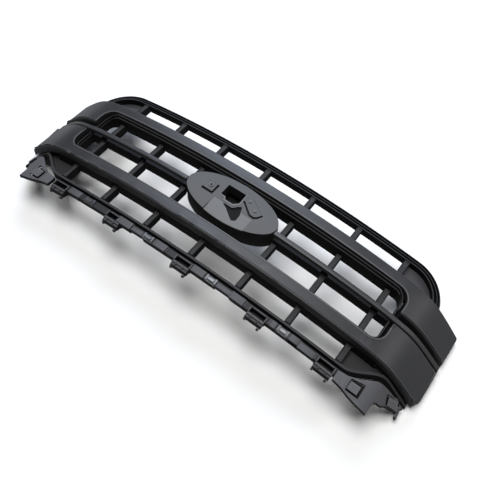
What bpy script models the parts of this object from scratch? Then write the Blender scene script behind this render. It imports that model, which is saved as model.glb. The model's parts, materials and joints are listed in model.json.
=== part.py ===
"""Front grille of a pickup truck, lying face up on the tips of its wings.

The local frame has X across the width, Y up the face and Z out of the front. Its zero is on the
centre line, at the front of the lattice posts. The empty "grille" lifts that frame off the floor.
"""

import math

import bmesh
import bpy

# Overall shape, in metres
HALF_WIDTH = 0.572
BOW = 0.1965  # 1/m: how fast the face falls back from the centre line
KNEE_X = 0.483  # where the lower members turn back along the side of the wing
KNEE_RADIUS = 0.015
KNEE_SLOPE = 0.862
SKIN_KNEE_X = 0.486  # the face itself turns back in a softer curve
SKIN_KNEE_RADIUS = 0.040
SKIN_KNEE_SLOPE = 0.8545
TOP_EDGE = 0.137
BRACKET_FOOT = -0.2425
GAP = 0.0003

# Face mouldings: two broad bars that widen into the wings
FACE_LEVEL = 0.033
FACE_WALL = 0.003
SKIRT = 0.022
UPPER_BAR_TOP = 0.0585
LOWER_BAR_FOOT = -0.143
OPENING_X = 0.440
OPENING_TOP = 0.031
OPENING_FOOT = -0.113
OPENING_RADIUS = 0.030
WING_JOIN = 0.395
GROOVE_TOP = -0.024
GROOVE_FOOT = -0.0513
GROOVE_RISE = 0.005  # the groove climbs a little towards the ends

# Middle bar
MIDDLE_Y = -0.043
MIDDLE_HEIGHT = 0.012
MIDDLE_DEPTH = 0.010

# Lattice behind the bars
POST_PITCH = 0.130
POST_WIDTH = 0.0135
POST_DEPTH = 0.021
LATTICE_BACK = -0.0205
SLAT_FRONT = 0.0085
SLAT_WALL = 0.003
SLAT_END = 0.4555
BEZEL_X = 0.432
BEZEL_TOP = 0.0295
BEZEL_FOOT = -0.1125
BEZEL_WALL = 0.0055
BEZEL_RADIUS = 0.026
BEZEL_FRONT = 0.026
BEZEL_DIP = 0.011  # how much lower the ring is at its ends, under the middle bar
BEZEL_RUN = 0.406  # where its straight runs end and its corners begin

# Badge pedestal
BADGE_Y = -0.0364
BADGE_A = 0.1225
BADGE_B = 0.0565
BADGE_FACE = 0.0305
BADGE_WALL = 0.003

# Top rim: a trough between an outer lip and the top wall of the first row
RIM_WIDTH = 0.021
RIM_CORNER_X = 0.412
RIM_RADIUS = 0.095
RIM_LIP = 0.009
RIM_BACK = -0.030

# Bottom rim, flange and fixings
BOTTOM_Y = -0.1922
BOTTOM_RISE = 0.043
BOTTOM_S_START = 0.405
BOTTOM_S_END = 0.495
BOTTOM_END = 0.553  # where the lip stops under the wing's tip
BOTTOM_LIP = 0.0066
FLANGE_END = 0.400
FLANGE_TOP = -0.1962
FLANGE_FOOT = -0.2170
FLANGE_FRONT = -0.004
FLANGE_BACK = -0.022
LATCH_X = (-0.374, -0.201, 0.0, 0.201, 0.374)
LATCH_WIDTH = 0.046
LATCH_FOOT = -0.2325
CLIP_X = (-0.271, -0.088, 0.088, 0.271)
CLIP_WIDTH = 0.026

ROWS = {  # clear height of each row of windows
    1: (UPPER_BAR_TOP - 0.003, TOP_EDGE - RIM_WIDTH),
    2: (MIDDLE_Y + 0.0075, BEZEL_TOP - BEZEL_WALL),
    3: (BEZEL_FOOT + BEZEL_WALL, MIDDLE_Y - 0.006),
    4: (BOTTOM_Y + BOTTOM_LIP / 2, LOWER_BAR_FOOT - 0.0005),
}


def bow(x):
    return BOW * x * x


def knee(x, start, radius, slope):
    past = abs(x) - start
    return slope * (math.hypot(past, radius) + past) / 2


def wrap(x):
    """How far the lip, the brackets and the end panels lie behind their level on the centre line."""
    return bow(x) + knee(x, KNEE_X, KNEE_RADIUS, KNEE_SLOPE)


def skin(x):
    """How far the face lies behind its level on the centre line."""
    return bow(x) + knee(x, SKIN_KNEE_X, SKIN_KNEE_RADIUS, SKIN_KNEE_SLOPE)


FLOOR = -(FACE_LEVEL - skin(HALF_WIDTH) - SKIRT)
CENTRE_Y = (TOP_EDGE + BRACKET_FOOT) / 2


def clear_scene():
    for obj in list(bpy.data.objects):
        bpy.data.objects.remove(obj, do_unlink=True)


def new_collection(name):
    collection = bpy.data.collections.new(name)
    bpy.context.scene.collection.children.link(collection)
    return collection


def plastic(name, colour, roughness, metallic=0.0):
    material = bpy.data.materials.new(name)
    material.use_nodes = True
    shader = material.node_tree.nodes["Principled BSDF"]
    shader.inputs["Base Color"].default_value = (*colour, 1.0)
    shader.inputs["Roughness"].default_value = roughness
    shader.inputs["Metallic"].default_value = metallic
    return material


def add(name, mesh, material):
    obj = bpy.data.objects.new(name, mesh)
    PARTS.objects.link(obj)
    obj.parent = ROOT
    mesh.materials.append(material)
    return obj


def mesh_of(bm, name):
    bmesh.ops.recalc_face_normals(bm, faces=bm.faces)
    mesh = bpy.data.meshes.new(name)
    bm.to_mesh(mesh)
    bm.free()
    return mesh


def box(name, low, high):
    """A block between two corners, with its origin at its own centre."""
    bm = bmesh.new()
    bmesh.ops.create_cube(bm, size=1.0)
    size = [b - a for a, b in zip(low, high)]
    bmesh.ops.scale(bm, vec=size, verts=bm.verts)
    mesh = mesh_of(bm, name)
    return mesh, [(a + b) / 2 for a, b in zip(low, high)]


def add_box(name, low, high, material):
    mesh, centre = box(name, low, high)
    obj = add(name, mesh, material)
    obj.location = centre
    return obj


def helper(mesh, name, location=(0, 0, 0)):
    """A shape that only cuts or joins another one."""
    obj = bpy.data.objects.new(name, mesh)
    CUTTERS.objects.link(obj)
    obj.parent = ROOT
    obj.location = location
    obj.hide_render = True
    obj.display_type = "WIRE"
    return obj


def boolean(obj, other, operation):
    modifier = obj.modifiers.new(operation.title(), "BOOLEAN")
    modifier.solver = "EXACT"
    modifier.operation = operation
    modifier.object = other
    return modifier


def bevel(obj, width, segments=2):
    modifier = obj.modifiers.new("Bevel", "BEVEL")
    modifier.width = width
    modifier.segments = segments
    modifier.limit_method = "ANGLE"
    return modifier


def loft_mesh(name, rings, closed=False):
    """One skin through rings of equally many points, with an end cap unless the rings close up."""
    bm = bmesh.new()
    made = [[bm.verts.new(point) for point in ring] for ring in rings]
    count = len(made[0])
    pairs = list(zip(made, made[1:]))
    if closed:
        pairs.append((made[-1], made[0]))
    for first, second in pairs:
        for i in range(count):
            j = (i + 1) % count
            bm.faces.new((first[i], first[j], second[j], second[i]))
    if not closed:
        bm.faces.new(made[0])
        bm.faces.new(made[-1])
    return mesh_of(bm, name)


def spread(start, end, count):
    return [start + (end - start) * i / (count - 1) for i in range(count)]


def channel(low, high, inner_low, inner_high, level, depth, wall=FACE_WALL, round_edge=0.005):
    """Cross-section (y, z) of a moulding that is open at the back and has rounded front edges."""
    cut = round_edge * 0.3
    return [
        (low, level - depth),
        (low, level - round_edge),
        (low + cut, level - cut),
        (low + round_edge, level),
        (high - round_edge, level),
        (high - cut, level - cut),
        (high, level - round_edge),
        (high, level - depth),
        (inner_high, level - depth),
        (inner_high, level - wall),
        (inner_low, level - wall),
        (inner_low, level - depth),
    ]


def opening_drop(x):
    """How far the opening's rounded corner has moved its upper or lower edge at x."""
    past = abs(x) - (OPENING_X - OPENING_RADIUS)
    if past <= 0:
        return 0.0
    return OPENING_RADIUS - math.sqrt(max(0.0, OPENING_RADIUS**2 - past**2))


def groove_rise(x):
    return GROOVE_RISE * max(0.0, (abs(x) - OPENING_X) / (HALF_WIDTH - OPENING_X))


def upper_inner_edge(x):
    if abs(x) < OPENING_X:
        return OPENING_TOP - opening_drop(x)
    return GROOVE_TOP + groove_rise(x)


def lower_inner_edge(x):
    if abs(x) < OPENING_X:
        return OPENING_FOOT + opening_drop(x)
    return GROOVE_FOOT + groove_rise(x)


def face_section(x, upper):
    """The moulding's section at x; its inner wall keeps its thickness round the opening's corner."""
    inside_x = max(0.0, abs(x) - FACE_WALL)
    level = FACE_LEVEL - skin(x)
    if upper:
        low, high = upper_inner_edge(x), UPPER_BAR_TOP
        inner_low, inner_high = upper_inner_edge(inside_x) + FACE_WALL, high - FACE_WALL
    else:
        low, high = LOWER_BAR_FOOT, lower_inner_edge(x)
        inner_low, inner_high = low + FACE_WALL, lower_inner_edge(inside_x) - FACE_WALL
    over_slat = level - (SLAT_FRONT + 0.001 - bow(x))
    depth = min(SKIRT, over_slat) if abs(x) < SLAT_END + 0.0015 else SKIRT
    section = channel(low, high, inner_low, inner_high, level, depth)
    return [(x, y, z) for y, z in section]


def wing_stations():
    edge = 0.0003
    arc = [OPENING_X - OPENING_RADIUS * (1 - math.sin(a)) for a in spread(0.0, 1.45, 6)]
    jumps = [OPENING_X - edge, OPENING_X + edge]
    jumps += [OPENING_X + FACE_WALL - edge, OPENING_X + FACE_WALL + edge]
    side = [0.4565, 0.468, 0.475, 0.481, 0.487, 0.493, 0.500, 0.510, 0.525, 0.545, HALF_WIDTH]
    return [WING_JOIN + GAP / 2] + arc + jumps + side


def face_moulding(which, upper, material):
    """A broad bar and the wing at each of its ends."""
    xs = spread(-WING_JOIN + GAP / 2, WING_JOIN - GAP / 2, 23)
    add(f"{which}_bar", loft_mesh(which, [face_section(x, upper) for x in xs]), material)
    for side, word in ((-1, "left"), (1, "right")):
        rings = [face_section(side * x, upper) for x in wing_stations()]
        wing = add(f"{which}_wing_{word}", loft_mesh(which, rings), material)
        low = GROOVE_TOP + GROOVE_RISE if upper else LOWER_BAR_FOOT
        high = UPPER_BAR_TOP if upper else GROOVE_FOOT + GROOVE_RISE
        inner, outer = HALF_WIDTH - 0.006, HALF_WIDTH - 0.0004
        top = FACE_LEVEL - skin(HALF_WIDTH) - FACE_WALL / 2
        floor = FACE_LEVEL - skin(HALF_WIDTH) - SKIRT
        ends = sorted((side * inner, side * outer))
        block = box("end_wall", (ends[0], low + 0.001, floor), (ends[1], high - 0.001, top))
        boolean(wing, helper(*block[:1], f"{which}_{word}_end_wall", block[1]), "UNION")


def middle_bars(material):
    """The thin bar between the broad ones, from the badge out along the groove of each wing."""
    for side, word in ((-1, "left"), (1, "right")):
        rings = []
        for x in spread(BADGE_A + 0.0015, OPENING_X, 12) + spread(0.455, HALF_WIDTH - 0.001, 12):
            y = MIDDLE_Y + 1.6 * groove_rise(x)
            sunk = 0.004 * min(1.0, max(0.0, (x - 0.42) / 0.04))
            level = FACE_LEVEL - sunk - skin(x)
            half, cut, depth = MIDDLE_HEIGHT / 2, 0.002, MIDDLE_DEPTH
            section = [
                (y - half, level - depth),
                (y - half, level - cut),
                (y - half + cut, level),
                (y + half - cut, level),
                (y + half, level - cut),
                (y + half, level - depth),
            ]
            rings.append([(side * x, py, pz) for py, pz in section])
        add(f"middle_bar_{word}", loft_mesh("middle_bar", rings), material)


def slat_section(x, low, high):
    """A slat is a channel that opens to the back of the grille."""
    front, back = SLAT_FRONT - bow(x), LATTICE_BACK - bow(x)
    wall = SLAT_WALL
    points = [
        (low, back),
        (low, front),
        (high, front),
        (high, back),
        (high - wall, back),
        (high - wall, front - wall),
        (low + wall, front - wall),
        (low + wall, back),
    ]
    return [(x, y, z) for y, z in points]


def slat(name, low, high, start, end, material):
    rings = [slat_section(x, low, high) for x in spread(start, end, 17)]
    return add(name, loft_mesh(name, rings), material)


def bezel_run(name, edge, up):
    """One straight side of the ring that lines the opening: its lip and the foot that joins a slat."""
    rings = []
    for x in spread(-BEZEL_RUN + GAP, BEZEL_RUN - GAP, 23):
        section = [
            (edge - up * BEZEL_WALL, LATTICE_BACK + 0.001),
            (edge - up * BEZEL_WALL, BEZEL_FRONT - 0.001),
            (edge - up * (BEZEL_WALL - 0.001), BEZEL_FRONT),
            (edge - up * 0.001, BEZEL_FRONT),
            (edge, BEZEL_FRONT - 0.001),
            (edge, SLAT_FRONT - 0.0015),
            (edge + up * 0.002, SLAT_FRONT - 0.0015),
            (edge + up * 0.002, LATTICE_BACK + 0.001),
        ]
        rings.append([(x, y, z - bow(x)) for y, z in section])
    return helper(loft_mesh(name, rings), name)


def slats(material):
    end = SLAT_END - GAP
    upper = slat("upper_slat", BEZEL_TOP + GAP, ROWS[1][0] - GAP, -end, end, material)
    lower = slat("lower_slat", ROWS[4][1] + GAP, BEZEL_FOOT - GAP, -end, end, material)
    boolean(upper, bezel_run("upper_bezel_run", BEZEL_TOP, 1), "UNION")
    boolean(lower, bezel_run("lower_bezel_run", BEZEL_FOOT, -1), "UNION")
    low, high = ROWS[3][1] + GAP, ROWS[2][0] - GAP
    start = BADGE_A + 0.001
    slat("middle_slat_left", low, high, -BEZEL_X + BEZEL_WALL + GAP, -start, material)
    slat("middle_slat_right", low, high, start, BEZEL_X - BEZEL_WALL - GAP, material)


def bezel_end_outline():
    """Points and outward normals round the right-hand end of the opening's ring, from its foot."""
    outline = []
    for cy, start in ((BEZEL_FOOT + BEZEL_RADIUS, -90), (BEZEL_TOP - BEZEL_RADIUS, 0)):
        for angle in spread(math.radians(start), math.radians(start + 90), 9):
            normal = (math.cos(angle), math.sin(angle))
            point = (BEZEL_X - BEZEL_RADIUS + BEZEL_RADIUS * normal[0], cy + BEZEL_RADIUS * normal[1])
            outline.append((point, normal))
    return outline


def bezel_end(side):
    """The ring's end, dipping to pass under the middle bar."""
    rings = []
    for (x, y), (nx, ny) in bezel_end_outline():
        front = BEZEL_FRONT - BEZEL_DIP * min(1.0, (x - BEZEL_RUN) / BEZEL_RADIUS)
        ring = []
        for inward, z in (
            (0.0, LATTICE_BACK + 0.001),
            (0.0, front - 0.001),
            (0.001, front),
            (BEZEL_WALL - 0.001, front),
            (BEZEL_WALL, front - 0.001),
            (BEZEL_WALL, LATTICE_BACK + 0.001),
        ):
            px, py = x - nx * inward, y - ny * inward
            ring.append((side * px, py, z - bow(px)))
        rings.append(ring)
    return loft_mesh("bezel_end", rings)


def posts(material):
    """Short posts between the slats, in seven columns; the badge stands in for the middle ones."""
    for row, (low, high) in ROWS.items():
        for column in range(-3, 4):
            if column == 0 and row in (2, 3):
                continue
            x = column * POST_PITCH
            z = -bow(x)
            name = f"post_row{row}_{column + 4}"
            half = POST_WIDTH / 2
            corners = (x - half, low + GAP, z - POST_DEPTH), (x + half, high - GAP, z)
            post = add_box(name, *corners, material)
            bevel(post, 0.003, 1)


def ellipse_mesh(name, a, b, low, high, segments=56):
    bm = bmesh.new()
    bmesh.ops.create_cone(
        bm, cap_ends=True, segments=segments, radius1=1.0, radius2=1.0, depth=high - low
    )
    bmesh.ops.scale(bm, vec=(a, b, 1.0), verts=bm.verts)
    return mesh_of(bm, name)


def prism(name, outline, low, high):
    """A flat outline given a thickness, as two rings of a loft."""
    return loft_mesh(name, [[(x, y, z) for x, y in outline] for z in (low, high)])


def badge_pedestal(material):
    """An oval cup, face forward, with the camera's window and the cable channel below it."""
    height = BADGE_FACE - LATTICE_BACK
    middle = (0, BADGE_Y, BADGE_FACE - height / 2)
    shell = add("badge_pedestal", ellipse_mesh("cup", BADGE_A, BADGE_B, 0, height), material)
    shell.location = middle
    bevel(shell, 0.002, 2)
    inner = (BADGE_A - BADGE_WALL, BADGE_B - BADGE_WALL)
    hollow = helper(ellipse_mesh("hollow", *inner, 0, height), "badge_hollow", middle)
    hollow.location.z -= BADGE_WALL
    boolean(shell, hollow, "DIFFERENCE")
    window = [(-0.034, -0.001), (0.0145, -0.001), (0.0155, -0.030), (0.005, -0.0405)]
    window += [(-0.016, -0.0405), (-0.0205, -0.033), (-0.034, -0.033)]
    channel_outline = [(-0.017, -0.0485), (0.011, -0.0490), (0.018, -0.0390), (0.027, -0.0340)]
    channel_outline += [(0.036, -0.0550), (0.0365, -0.0720), (0.028, -0.0775), (0.022, -0.0730)]
    channel_outline += [(0.000, -0.0585)]
    for name, outline in (("camera_window", window), ("cable_channel", channel_outline)):
        cutter = helper(prism(name, outline, BADGE_FACE - 0.010, BADGE_FACE + 0.010), name)
        boolean(shell, cutter, "DIFFERENCE")


def rim_path(start_angle, end_angle, count, side):
    """Points and inward normals along the outer edge of the rim's corner."""
    made = []
    for angle in spread(start_angle, end_angle, count):
        nx, ny = -math.cos(angle), -math.sin(angle)
        x = RIM_CORNER_X - RIM_RADIUS * nx
        y = TOP_EDGE - RIM_RADIUS - RIM_RADIUS * ny
        made.append(((side * x, y), (side * nx, ny)))
    return made


def rim_ring(point, normal):
    section = [
        (0.0, RIM_BACK),
        (0.0, -0.007),
        (0.002, -0.005),
        (RIM_LIP - 0.002, -0.005),
        (RIM_LIP, -0.007),
        (RIM_LIP, -0.018),
        (RIM_WIDTH - 0.004, -0.018),
        (RIM_WIDTH - 0.004, 0.0),
        (RIM_WIDTH, 0.0),
        (RIM_WIDTH, LATTICE_BACK - 0.0015),
        (0.004, LATTICE_BACK - 0.0015),
        (0.004, RIM_BACK),
    ]
    ring = []
    for inward, z in section:
        x, y = point[0] + normal[0] * inward, point[1] + normal[1] * inward
        ring.append((x, y, z - bow(x)))
    return ring


def top_rim(material):
    """The trough along the top, and the corners that bring it down to the wings."""
    xs = spread(-RIM_CORNER_X + 0.002, RIM_CORNER_X - 0.002, 21)
    rings = [rim_ring((x, TOP_EDGE), (0.0, -1.0)) for x in xs]
    add("top_rim", loft_mesh("top_rim", rings), material)
    for side, word in ((-1, "left"), (1, "right")):
        start = (side * (RIM_CORNER_X - 0.002 + GAP), TOP_EDGE)
        rings = [rim_ring(start, (0.0, -1.0))]
        rings += [rim_ring(*p) for p in rim_path(math.pi / 2, 0.05, 12, side)]
        corner = add(f"top_rim_corner_{word}", loft_mesh("corner", rings), material)
        boolean(corner, end_panel(f"row1_{word}", side), "UNION")
        below = box("trim", (-0.15, -0.05, -0.15), (0.15, UPPER_BAR_TOP + GAP, 0.15))
        below[1][0] = side * 0.52
        boolean(corner, helper(below[0], f"corner_{word}_trim", below[1]), "DIFFERENCE")


def end_panel(name, side):
    """The closed end of the top row, from the last post out to the rim's corner."""
    inner = RIM_RADIUS - RIM_WIDTH + 0.002
    start, step = 3 * POST_PITCH + POST_WIDTH / 2 + GAP, RIM_CORNER_X - 0.001
    under_rim = TOP_EDGE - RIM_WIDTH - GAP
    outline = [(start, UPPER_BAR_TOP - 0.004), (start, under_rim), (step, under_rim)]
    for angle in spread(1.45, 0.25, 7):
        x = RIM_CORNER_X + inner * math.cos(angle)
        outline.append((x, TOP_EDGE - RIM_RADIUS + inner * math.sin(angle)))
    rings = []
    for z in (-0.0215, -0.018):
        rings.append([(side * x, y, z - bow(x)) for x, y in outline])
    return helper(loft_mesh(name, rings), f"{name}_end_panel")


def bottom_y(x):
    """Height of the bottom rim's lip, which climbs to the wing in an S."""
    t = (abs(x) - BOTTOM_S_START) / (BOTTOM_S_END - BOTTOM_S_START)
    t = min(1.0, max(0.0, t))
    return BOTTOM_Y + BOTTOM_RISE * t * t * (3 - 2 * t)


def lip_back(x):
    """The wall behind the lip tapers off towards the end of the wing."""
    past = (abs(x) - BOTTOM_S_END) / (BOTTOM_END - BOTTOM_S_END)
    return -0.0215 + 0.0145 * min(1.0, max(0.0, past))


def bottom_ring(x):
    """A lip square to the rim's own direction; the wall behind it tapers off under the wing."""
    step = 0.0005
    slope = (bottom_y(x + step) - bottom_y(x - step)) / (2 * step)
    length = math.hypot(1.0, slope)
    nx, ny = -slope / length, 1 / length
    half = BOTTOM_LIP / 2
    back = lip_back(x)
    section = [
        (-half, back),
        (-half, -0.001),
        (-half + 0.001, 0.0),
        (half - 0.001, 0.0),
        (half, -0.001),
        (half, back),
    ]
    ring = []
    for across, z in section:
        px, py = x + nx * across, bottom_y(x) + ny * across
        ring.append((px, py, z - wrap(px)))
    return ring


def bottom_rim(material):
    """The lip under the last row, with a closed panel at each end of that row."""
    xs = spread(-FLANGE_END + GAP, FLANGE_END - GAP, 21)
    add("bottom_rim", loft_mesh("bottom_rim", [bottom_ring(x) for x in xs]), material)
    for side, word in ((-1, "left"), (1, "right")):
        xs = spread(FLANGE_END, 0.500, 13) + spread(0.512, BOTTOM_END, 5)
        rings = [bottom_ring(side * x) for x in xs]
        end = add(f"bottom_rim_end_{word}", loft_mesh("bottom_end", rings), material)
        panel = loft_mesh("panel", [panel_ring(side, x) for x in panel_stations()])
        boolean(end, helper(panel, f"row4_{word}_end_panel"), "UNION")


def panel_stations():
    start = 3 * POST_PITCH + POST_WIDTH / 2 + GAP
    first = [start, FLANGE_END, FLANGE_END + 0.001, 0.415, 0.430, 0.445]
    return first + [SLAT_END, SLAT_END + 0.0005] + spread(0.465, BOTTOM_END - 0.001, 9)


def panel_ring(side, x):
    """Section of the closed end of the last row, which runs on behind the wing's lower edge."""
    low = bottom_y(x) if x > FLANGE_END else bottom_y(x) + BOTTOM_LIP / 2 + GAP
    high = LOWER_BAR_FOOT - 0.0008 if x <= SLAT_END else LOWER_BAR_FOOT + 0.024
    back, drop = lip_back(x) + 0.001, wrap(x)
    points = [(low, back), (low, back + 0.003), (high, back + 0.003), (high, back)]
    return [(side * x, y, z - drop) for y, z in points]


def bowed_block(name, low_x, high_x, low_y, high_y, back, front, count):
    rings = []
    for x in spread(low_x, high_x, count):
        drop = bow(x)
        rings.append([
            (x, low_y, back - drop),
            (x, low_y, front - drop),
            (x, high_y, front - drop),
            (x, high_y, back - drop),
        ])
    return loft_mesh(name, rings)


def bottom_flange(material):
    """The fixing flange: a bowed strip with a pocket at each latch and a seat at each clip."""
    size = (FLANGE_FOOT, FLANGE_TOP, FLANGE_BACK, FLANGE_FRONT)
    strip = bowed_block("flange", -FLANGE_END + GAP, FLANGE_END - GAP, *size, 21)
    flange = add("bottom_flange", strip, material)
    for n, x in enumerate(LATCH_X, 1):
        z = -bow(x)
        pocket = box("pocket", (x - 0.015, -0.213, z - 0.040), (x + 0.015, -0.204, z + 0.020))
        boolean(flange, helper(pocket[0], f"latch_pocket_{n}", pocket[1]), "DIFFERENCE")
    for n, x in enumerate(CLIP_X, 1):
        z = FLANGE_FRONT - bow(x)
        half = CLIP_WIDTH / 2 + 0.0005
        seat = box("seat", (x - half, -0.2145, z - 0.0045), (x + half, -0.1990, z + 0.010))
        boolean(flange, helper(seat[0], f"clip_seat_{n}", seat[1]), "DIFFERENCE")


def latches(material):
    """Snap latches under the flange: a block with a sloping nose and a relief pocket."""
    for n, x in enumerate(LATCH_X, 1):
        z = FLANGE_FRONT - bow(x)
        half = LATCH_WIDTH / 2
        profile = [
            (FLANGE_FOOT - GAP, z - 0.020),
            (FLANGE_FOOT - GAP, z + 0.002),
            (FLANGE_FOOT - 0.006, z + 0.004),
            (LATCH_FOOT + 0.004, z - 0.001),
            (LATCH_FOOT, z - 0.007),
            (LATCH_FOOT, z - 0.011),
            (LATCH_FOOT + 0.007, z - 0.020),
        ]
        rings = [[(x + side * half, y, pz) for y, pz in profile] for side in (-1, 1)]
        latch = add(f"snap_latch_{n}", loft_mesh("latch", rings), material)
        low = (x - half + 0.004, LATCH_FOOT + 0.008, z - 0.030)
        high = (x + half - 0.004, FLANGE_FOOT - 0.004, z - 0.006)
        relief = box("relief", low, high)
        boolean(latch, helper(relief[0], f"latch_relief_{n}", relief[1]), "DIFFERENCE")


def clips(material):
    """Folded steel clips seated in the flange, each a strip bent into a shallow U."""
    for n, x in enumerate(CLIP_X, 1):
        z = FLANGE_FRONT - bow(x)
        half = CLIP_WIDTH / 2
        profile = [
            (-0.2140, z - 0.0040),
            (-0.2140, z + 0.0015),
            (-0.2110, z + 0.0030),
            (-0.2030, z + 0.0030),
            (-0.1995, z + 0.0015),
            (-0.1995, z - 0.0040),
            (-0.2010, z - 0.0040),
            (-0.2015, z + 0.0005),
            (-0.2045, z + 0.0018),
            (-0.2100, z + 0.0018),
            (-0.2125, z + 0.0005),
            (-0.2130, z - 0.0040),
        ]
        rings = [[(x + side * half, y, pz) for y, pz in profile] for side in (-1, 1)]
        add(f"spring_clip_{n}", loft_mesh("clip", rings), material)


def along(points, x):
    """Height of a line of points at x."""
    for (x0, y0), (x1, y1) in zip(points, points[1:]):
        if x <= x1:
            return y0 + (y1 - y0) * (x - x0) / (x1 - x0)
    return points[-1][1]


def wrapped_prism(name, outline, low, high, side):
    """A flat outline bent to the skin's shape, between two levels."""
    rings = [[(side * x, y, z - wrap(x)) for x, y in outline] for z in (low, high)]
    return loft_mesh(name, rings)


def corner_brackets(material):
    """Fixing brackets that follow the turn of the wing, with two tabs each and a hook."""
    foot = [(0.4003, -0.2310), (0.4227, -0.2330), (0.4451, -0.2395), (0.4647, BRACKET_FOOT)]
    foot += [(0.4906, BRACKET_FOOT), (0.4910, -0.2180), (0.4929, -0.2096), (0.4984, -0.2047)]
    foot += [(0.5038, -0.2036), (0.5083, -0.2005), (0.5151, -0.1930), (0.5415, -0.1805)]
    foot += [(0.5419, -0.1885), (0.5482, -0.1885)]
    head = [(0.4003, -0.2025), (0.4224, -0.1995), (0.4419, -0.1910), (0.4599, -0.1795)]
    head += [(0.4779, -0.1670), (0.4894, -0.1630), (0.5032, -0.1600), (0.5482, -0.1560)]
    stations = sorted({x for x, _ in foot} | {x for x, _ in head[1:-1]})
    low_tab = [(0.4340, -0.2280), (0.4580, -0.2280), (0.4580, -0.2050), (0.4340, -0.2050)]
    high_tab = [(0.5151, -0.1915), (0.5415, -0.1790), (0.5415, -0.1667), (0.5313, -0.1585)]
    high_tab += [(0.5112, -0.1711)]
    for side, word in ((-1, "left"), (1, "right")):
        rings = []
        for x in stations:
            low, high, drop = along(foot, x), along(head, x), wrap(x)
            section = [(low, 0.0015), (low, 0.006), (high, 0.006), (high, 0.0015)]
            rings.append([(side * x, y, z - drop) for y, z in section])
        bracket = add(f"corner_bracket_{word}", loft_mesh("bracket", rings), material)
        for n, outline in enumerate((low_tab, high_tab), 1):
            tab = wrapped_prism("tab", outline, 0.003, 0.009, side)
            boolean(bracket, helper(tab, f"tab_{word}_{n}"), "UNION")


def side_frames(material):
    """The ends of the opening's ring, each with the upright beside it and a tongue behind the groove."""
    for side, word in ((-1, "left"), (1, "right")):
        rings = []
        for x in spread(BEZEL_X - 0.0025, 0.468, 5) + spread(0.474, 0.560, 9):
            upright = x < 0.470
            low, high = (BEZEL_FOOT, BEZEL_TOP) if upright else (-0.062, -0.008)
            back, front = (LATTICE_BACK, -0.006) if upright else (0.004, 0.0095)
            drop = wrap(x) if upright else skin(x)
            section = [(low, back), (low, front), (high, front), (high, back)]
            rings.append([(side * x, y, z - drop) for y, z in section])
        frame = add(f"side_frame_{word}", loft_mesh("side_frame", rings), material)
        boolean(frame, helper(bezel_end(side), f"bezel_end_{word}"), "UNION")


def build():
    satin = plastic("satin_black_plastic", (0.055, 0.056, 0.062), 0.42)
    lattice = plastic("matte_black_plastic", (0.022, 0.022, 0.024), 0.62)
    grey = plastic("badge_grey_plastic", (0.105, 0.107, 0.112), 0.55)
    steel = plastic("clip_steel", (0.55, 0.56, 0.58), 0.35, 1.0)
    face_moulding("upper", True, satin)
    face_moulding("lower", False, satin)
    middle_bars(satin)
    badge_pedestal(grey)
    slats(lattice)
    posts(lattice)
    top_rim(lattice)
    bottom_rim(lattice)
    side_frames(lattice)
    bottom_flange(lattice)
    latches(lattice)
    clips(steel)
    corner_brackets(lattice)


clear_scene()
PARTS = new_collection("front_grille")
CUTTERS = new_collection("cutters")
ROOT = bpy.data.objects.new("grille", None)
ROOT.location = (0.0, -CENTRE_Y, FLOOR)
PARTS.objects.link(ROOT)
build()
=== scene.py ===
"""Front grille of a pickup truck: the finished pieces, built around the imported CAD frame.

Shapes are worked out in the grille's own frame, which has X across the width, Y up the face and
Z out of the front, with zero on the centre line at the front of the lattice posts. ORIGIN moves
them to where the CAD has the badge pedestal.
"""

import json
import math

import bmesh
import bpy
from mathutils import Matrix, Vector

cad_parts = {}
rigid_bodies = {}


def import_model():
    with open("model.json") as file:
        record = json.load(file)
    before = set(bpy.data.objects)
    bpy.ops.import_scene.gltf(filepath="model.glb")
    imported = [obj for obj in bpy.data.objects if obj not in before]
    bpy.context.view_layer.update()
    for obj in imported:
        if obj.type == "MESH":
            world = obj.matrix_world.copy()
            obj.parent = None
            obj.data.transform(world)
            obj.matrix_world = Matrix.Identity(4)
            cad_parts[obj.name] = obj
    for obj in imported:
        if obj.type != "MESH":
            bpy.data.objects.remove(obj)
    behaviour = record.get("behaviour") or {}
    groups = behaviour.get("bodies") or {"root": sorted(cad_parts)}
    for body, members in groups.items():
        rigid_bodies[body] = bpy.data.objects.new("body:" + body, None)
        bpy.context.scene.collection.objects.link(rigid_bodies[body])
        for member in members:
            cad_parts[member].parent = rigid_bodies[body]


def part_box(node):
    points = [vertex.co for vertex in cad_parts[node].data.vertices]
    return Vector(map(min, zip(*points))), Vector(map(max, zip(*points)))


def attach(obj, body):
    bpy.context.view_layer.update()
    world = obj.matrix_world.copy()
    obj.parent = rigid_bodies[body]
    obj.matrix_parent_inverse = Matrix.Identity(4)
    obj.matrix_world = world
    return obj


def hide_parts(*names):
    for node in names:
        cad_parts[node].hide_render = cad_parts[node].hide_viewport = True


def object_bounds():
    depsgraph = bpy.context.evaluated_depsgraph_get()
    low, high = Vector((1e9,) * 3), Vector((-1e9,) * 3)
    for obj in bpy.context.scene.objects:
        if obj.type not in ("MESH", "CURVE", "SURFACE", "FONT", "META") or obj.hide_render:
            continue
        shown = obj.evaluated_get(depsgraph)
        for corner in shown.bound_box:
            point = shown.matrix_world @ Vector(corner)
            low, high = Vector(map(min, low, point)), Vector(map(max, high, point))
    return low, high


bl_info = {
    "name": "Front Grille",
    "version": (1, 0, 0),
    "blender": (4, 5, 0),
    "location": "3D View > Sidebar > Grille",
    "description": "Builds the finished pieces of a pickup's front grille round its CAD frame",
    "category": "Object",
}

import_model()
CAD_LOW, CAD_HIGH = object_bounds()
BADGE_LOW, BADGE_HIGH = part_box("badge_pedestal")

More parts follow.
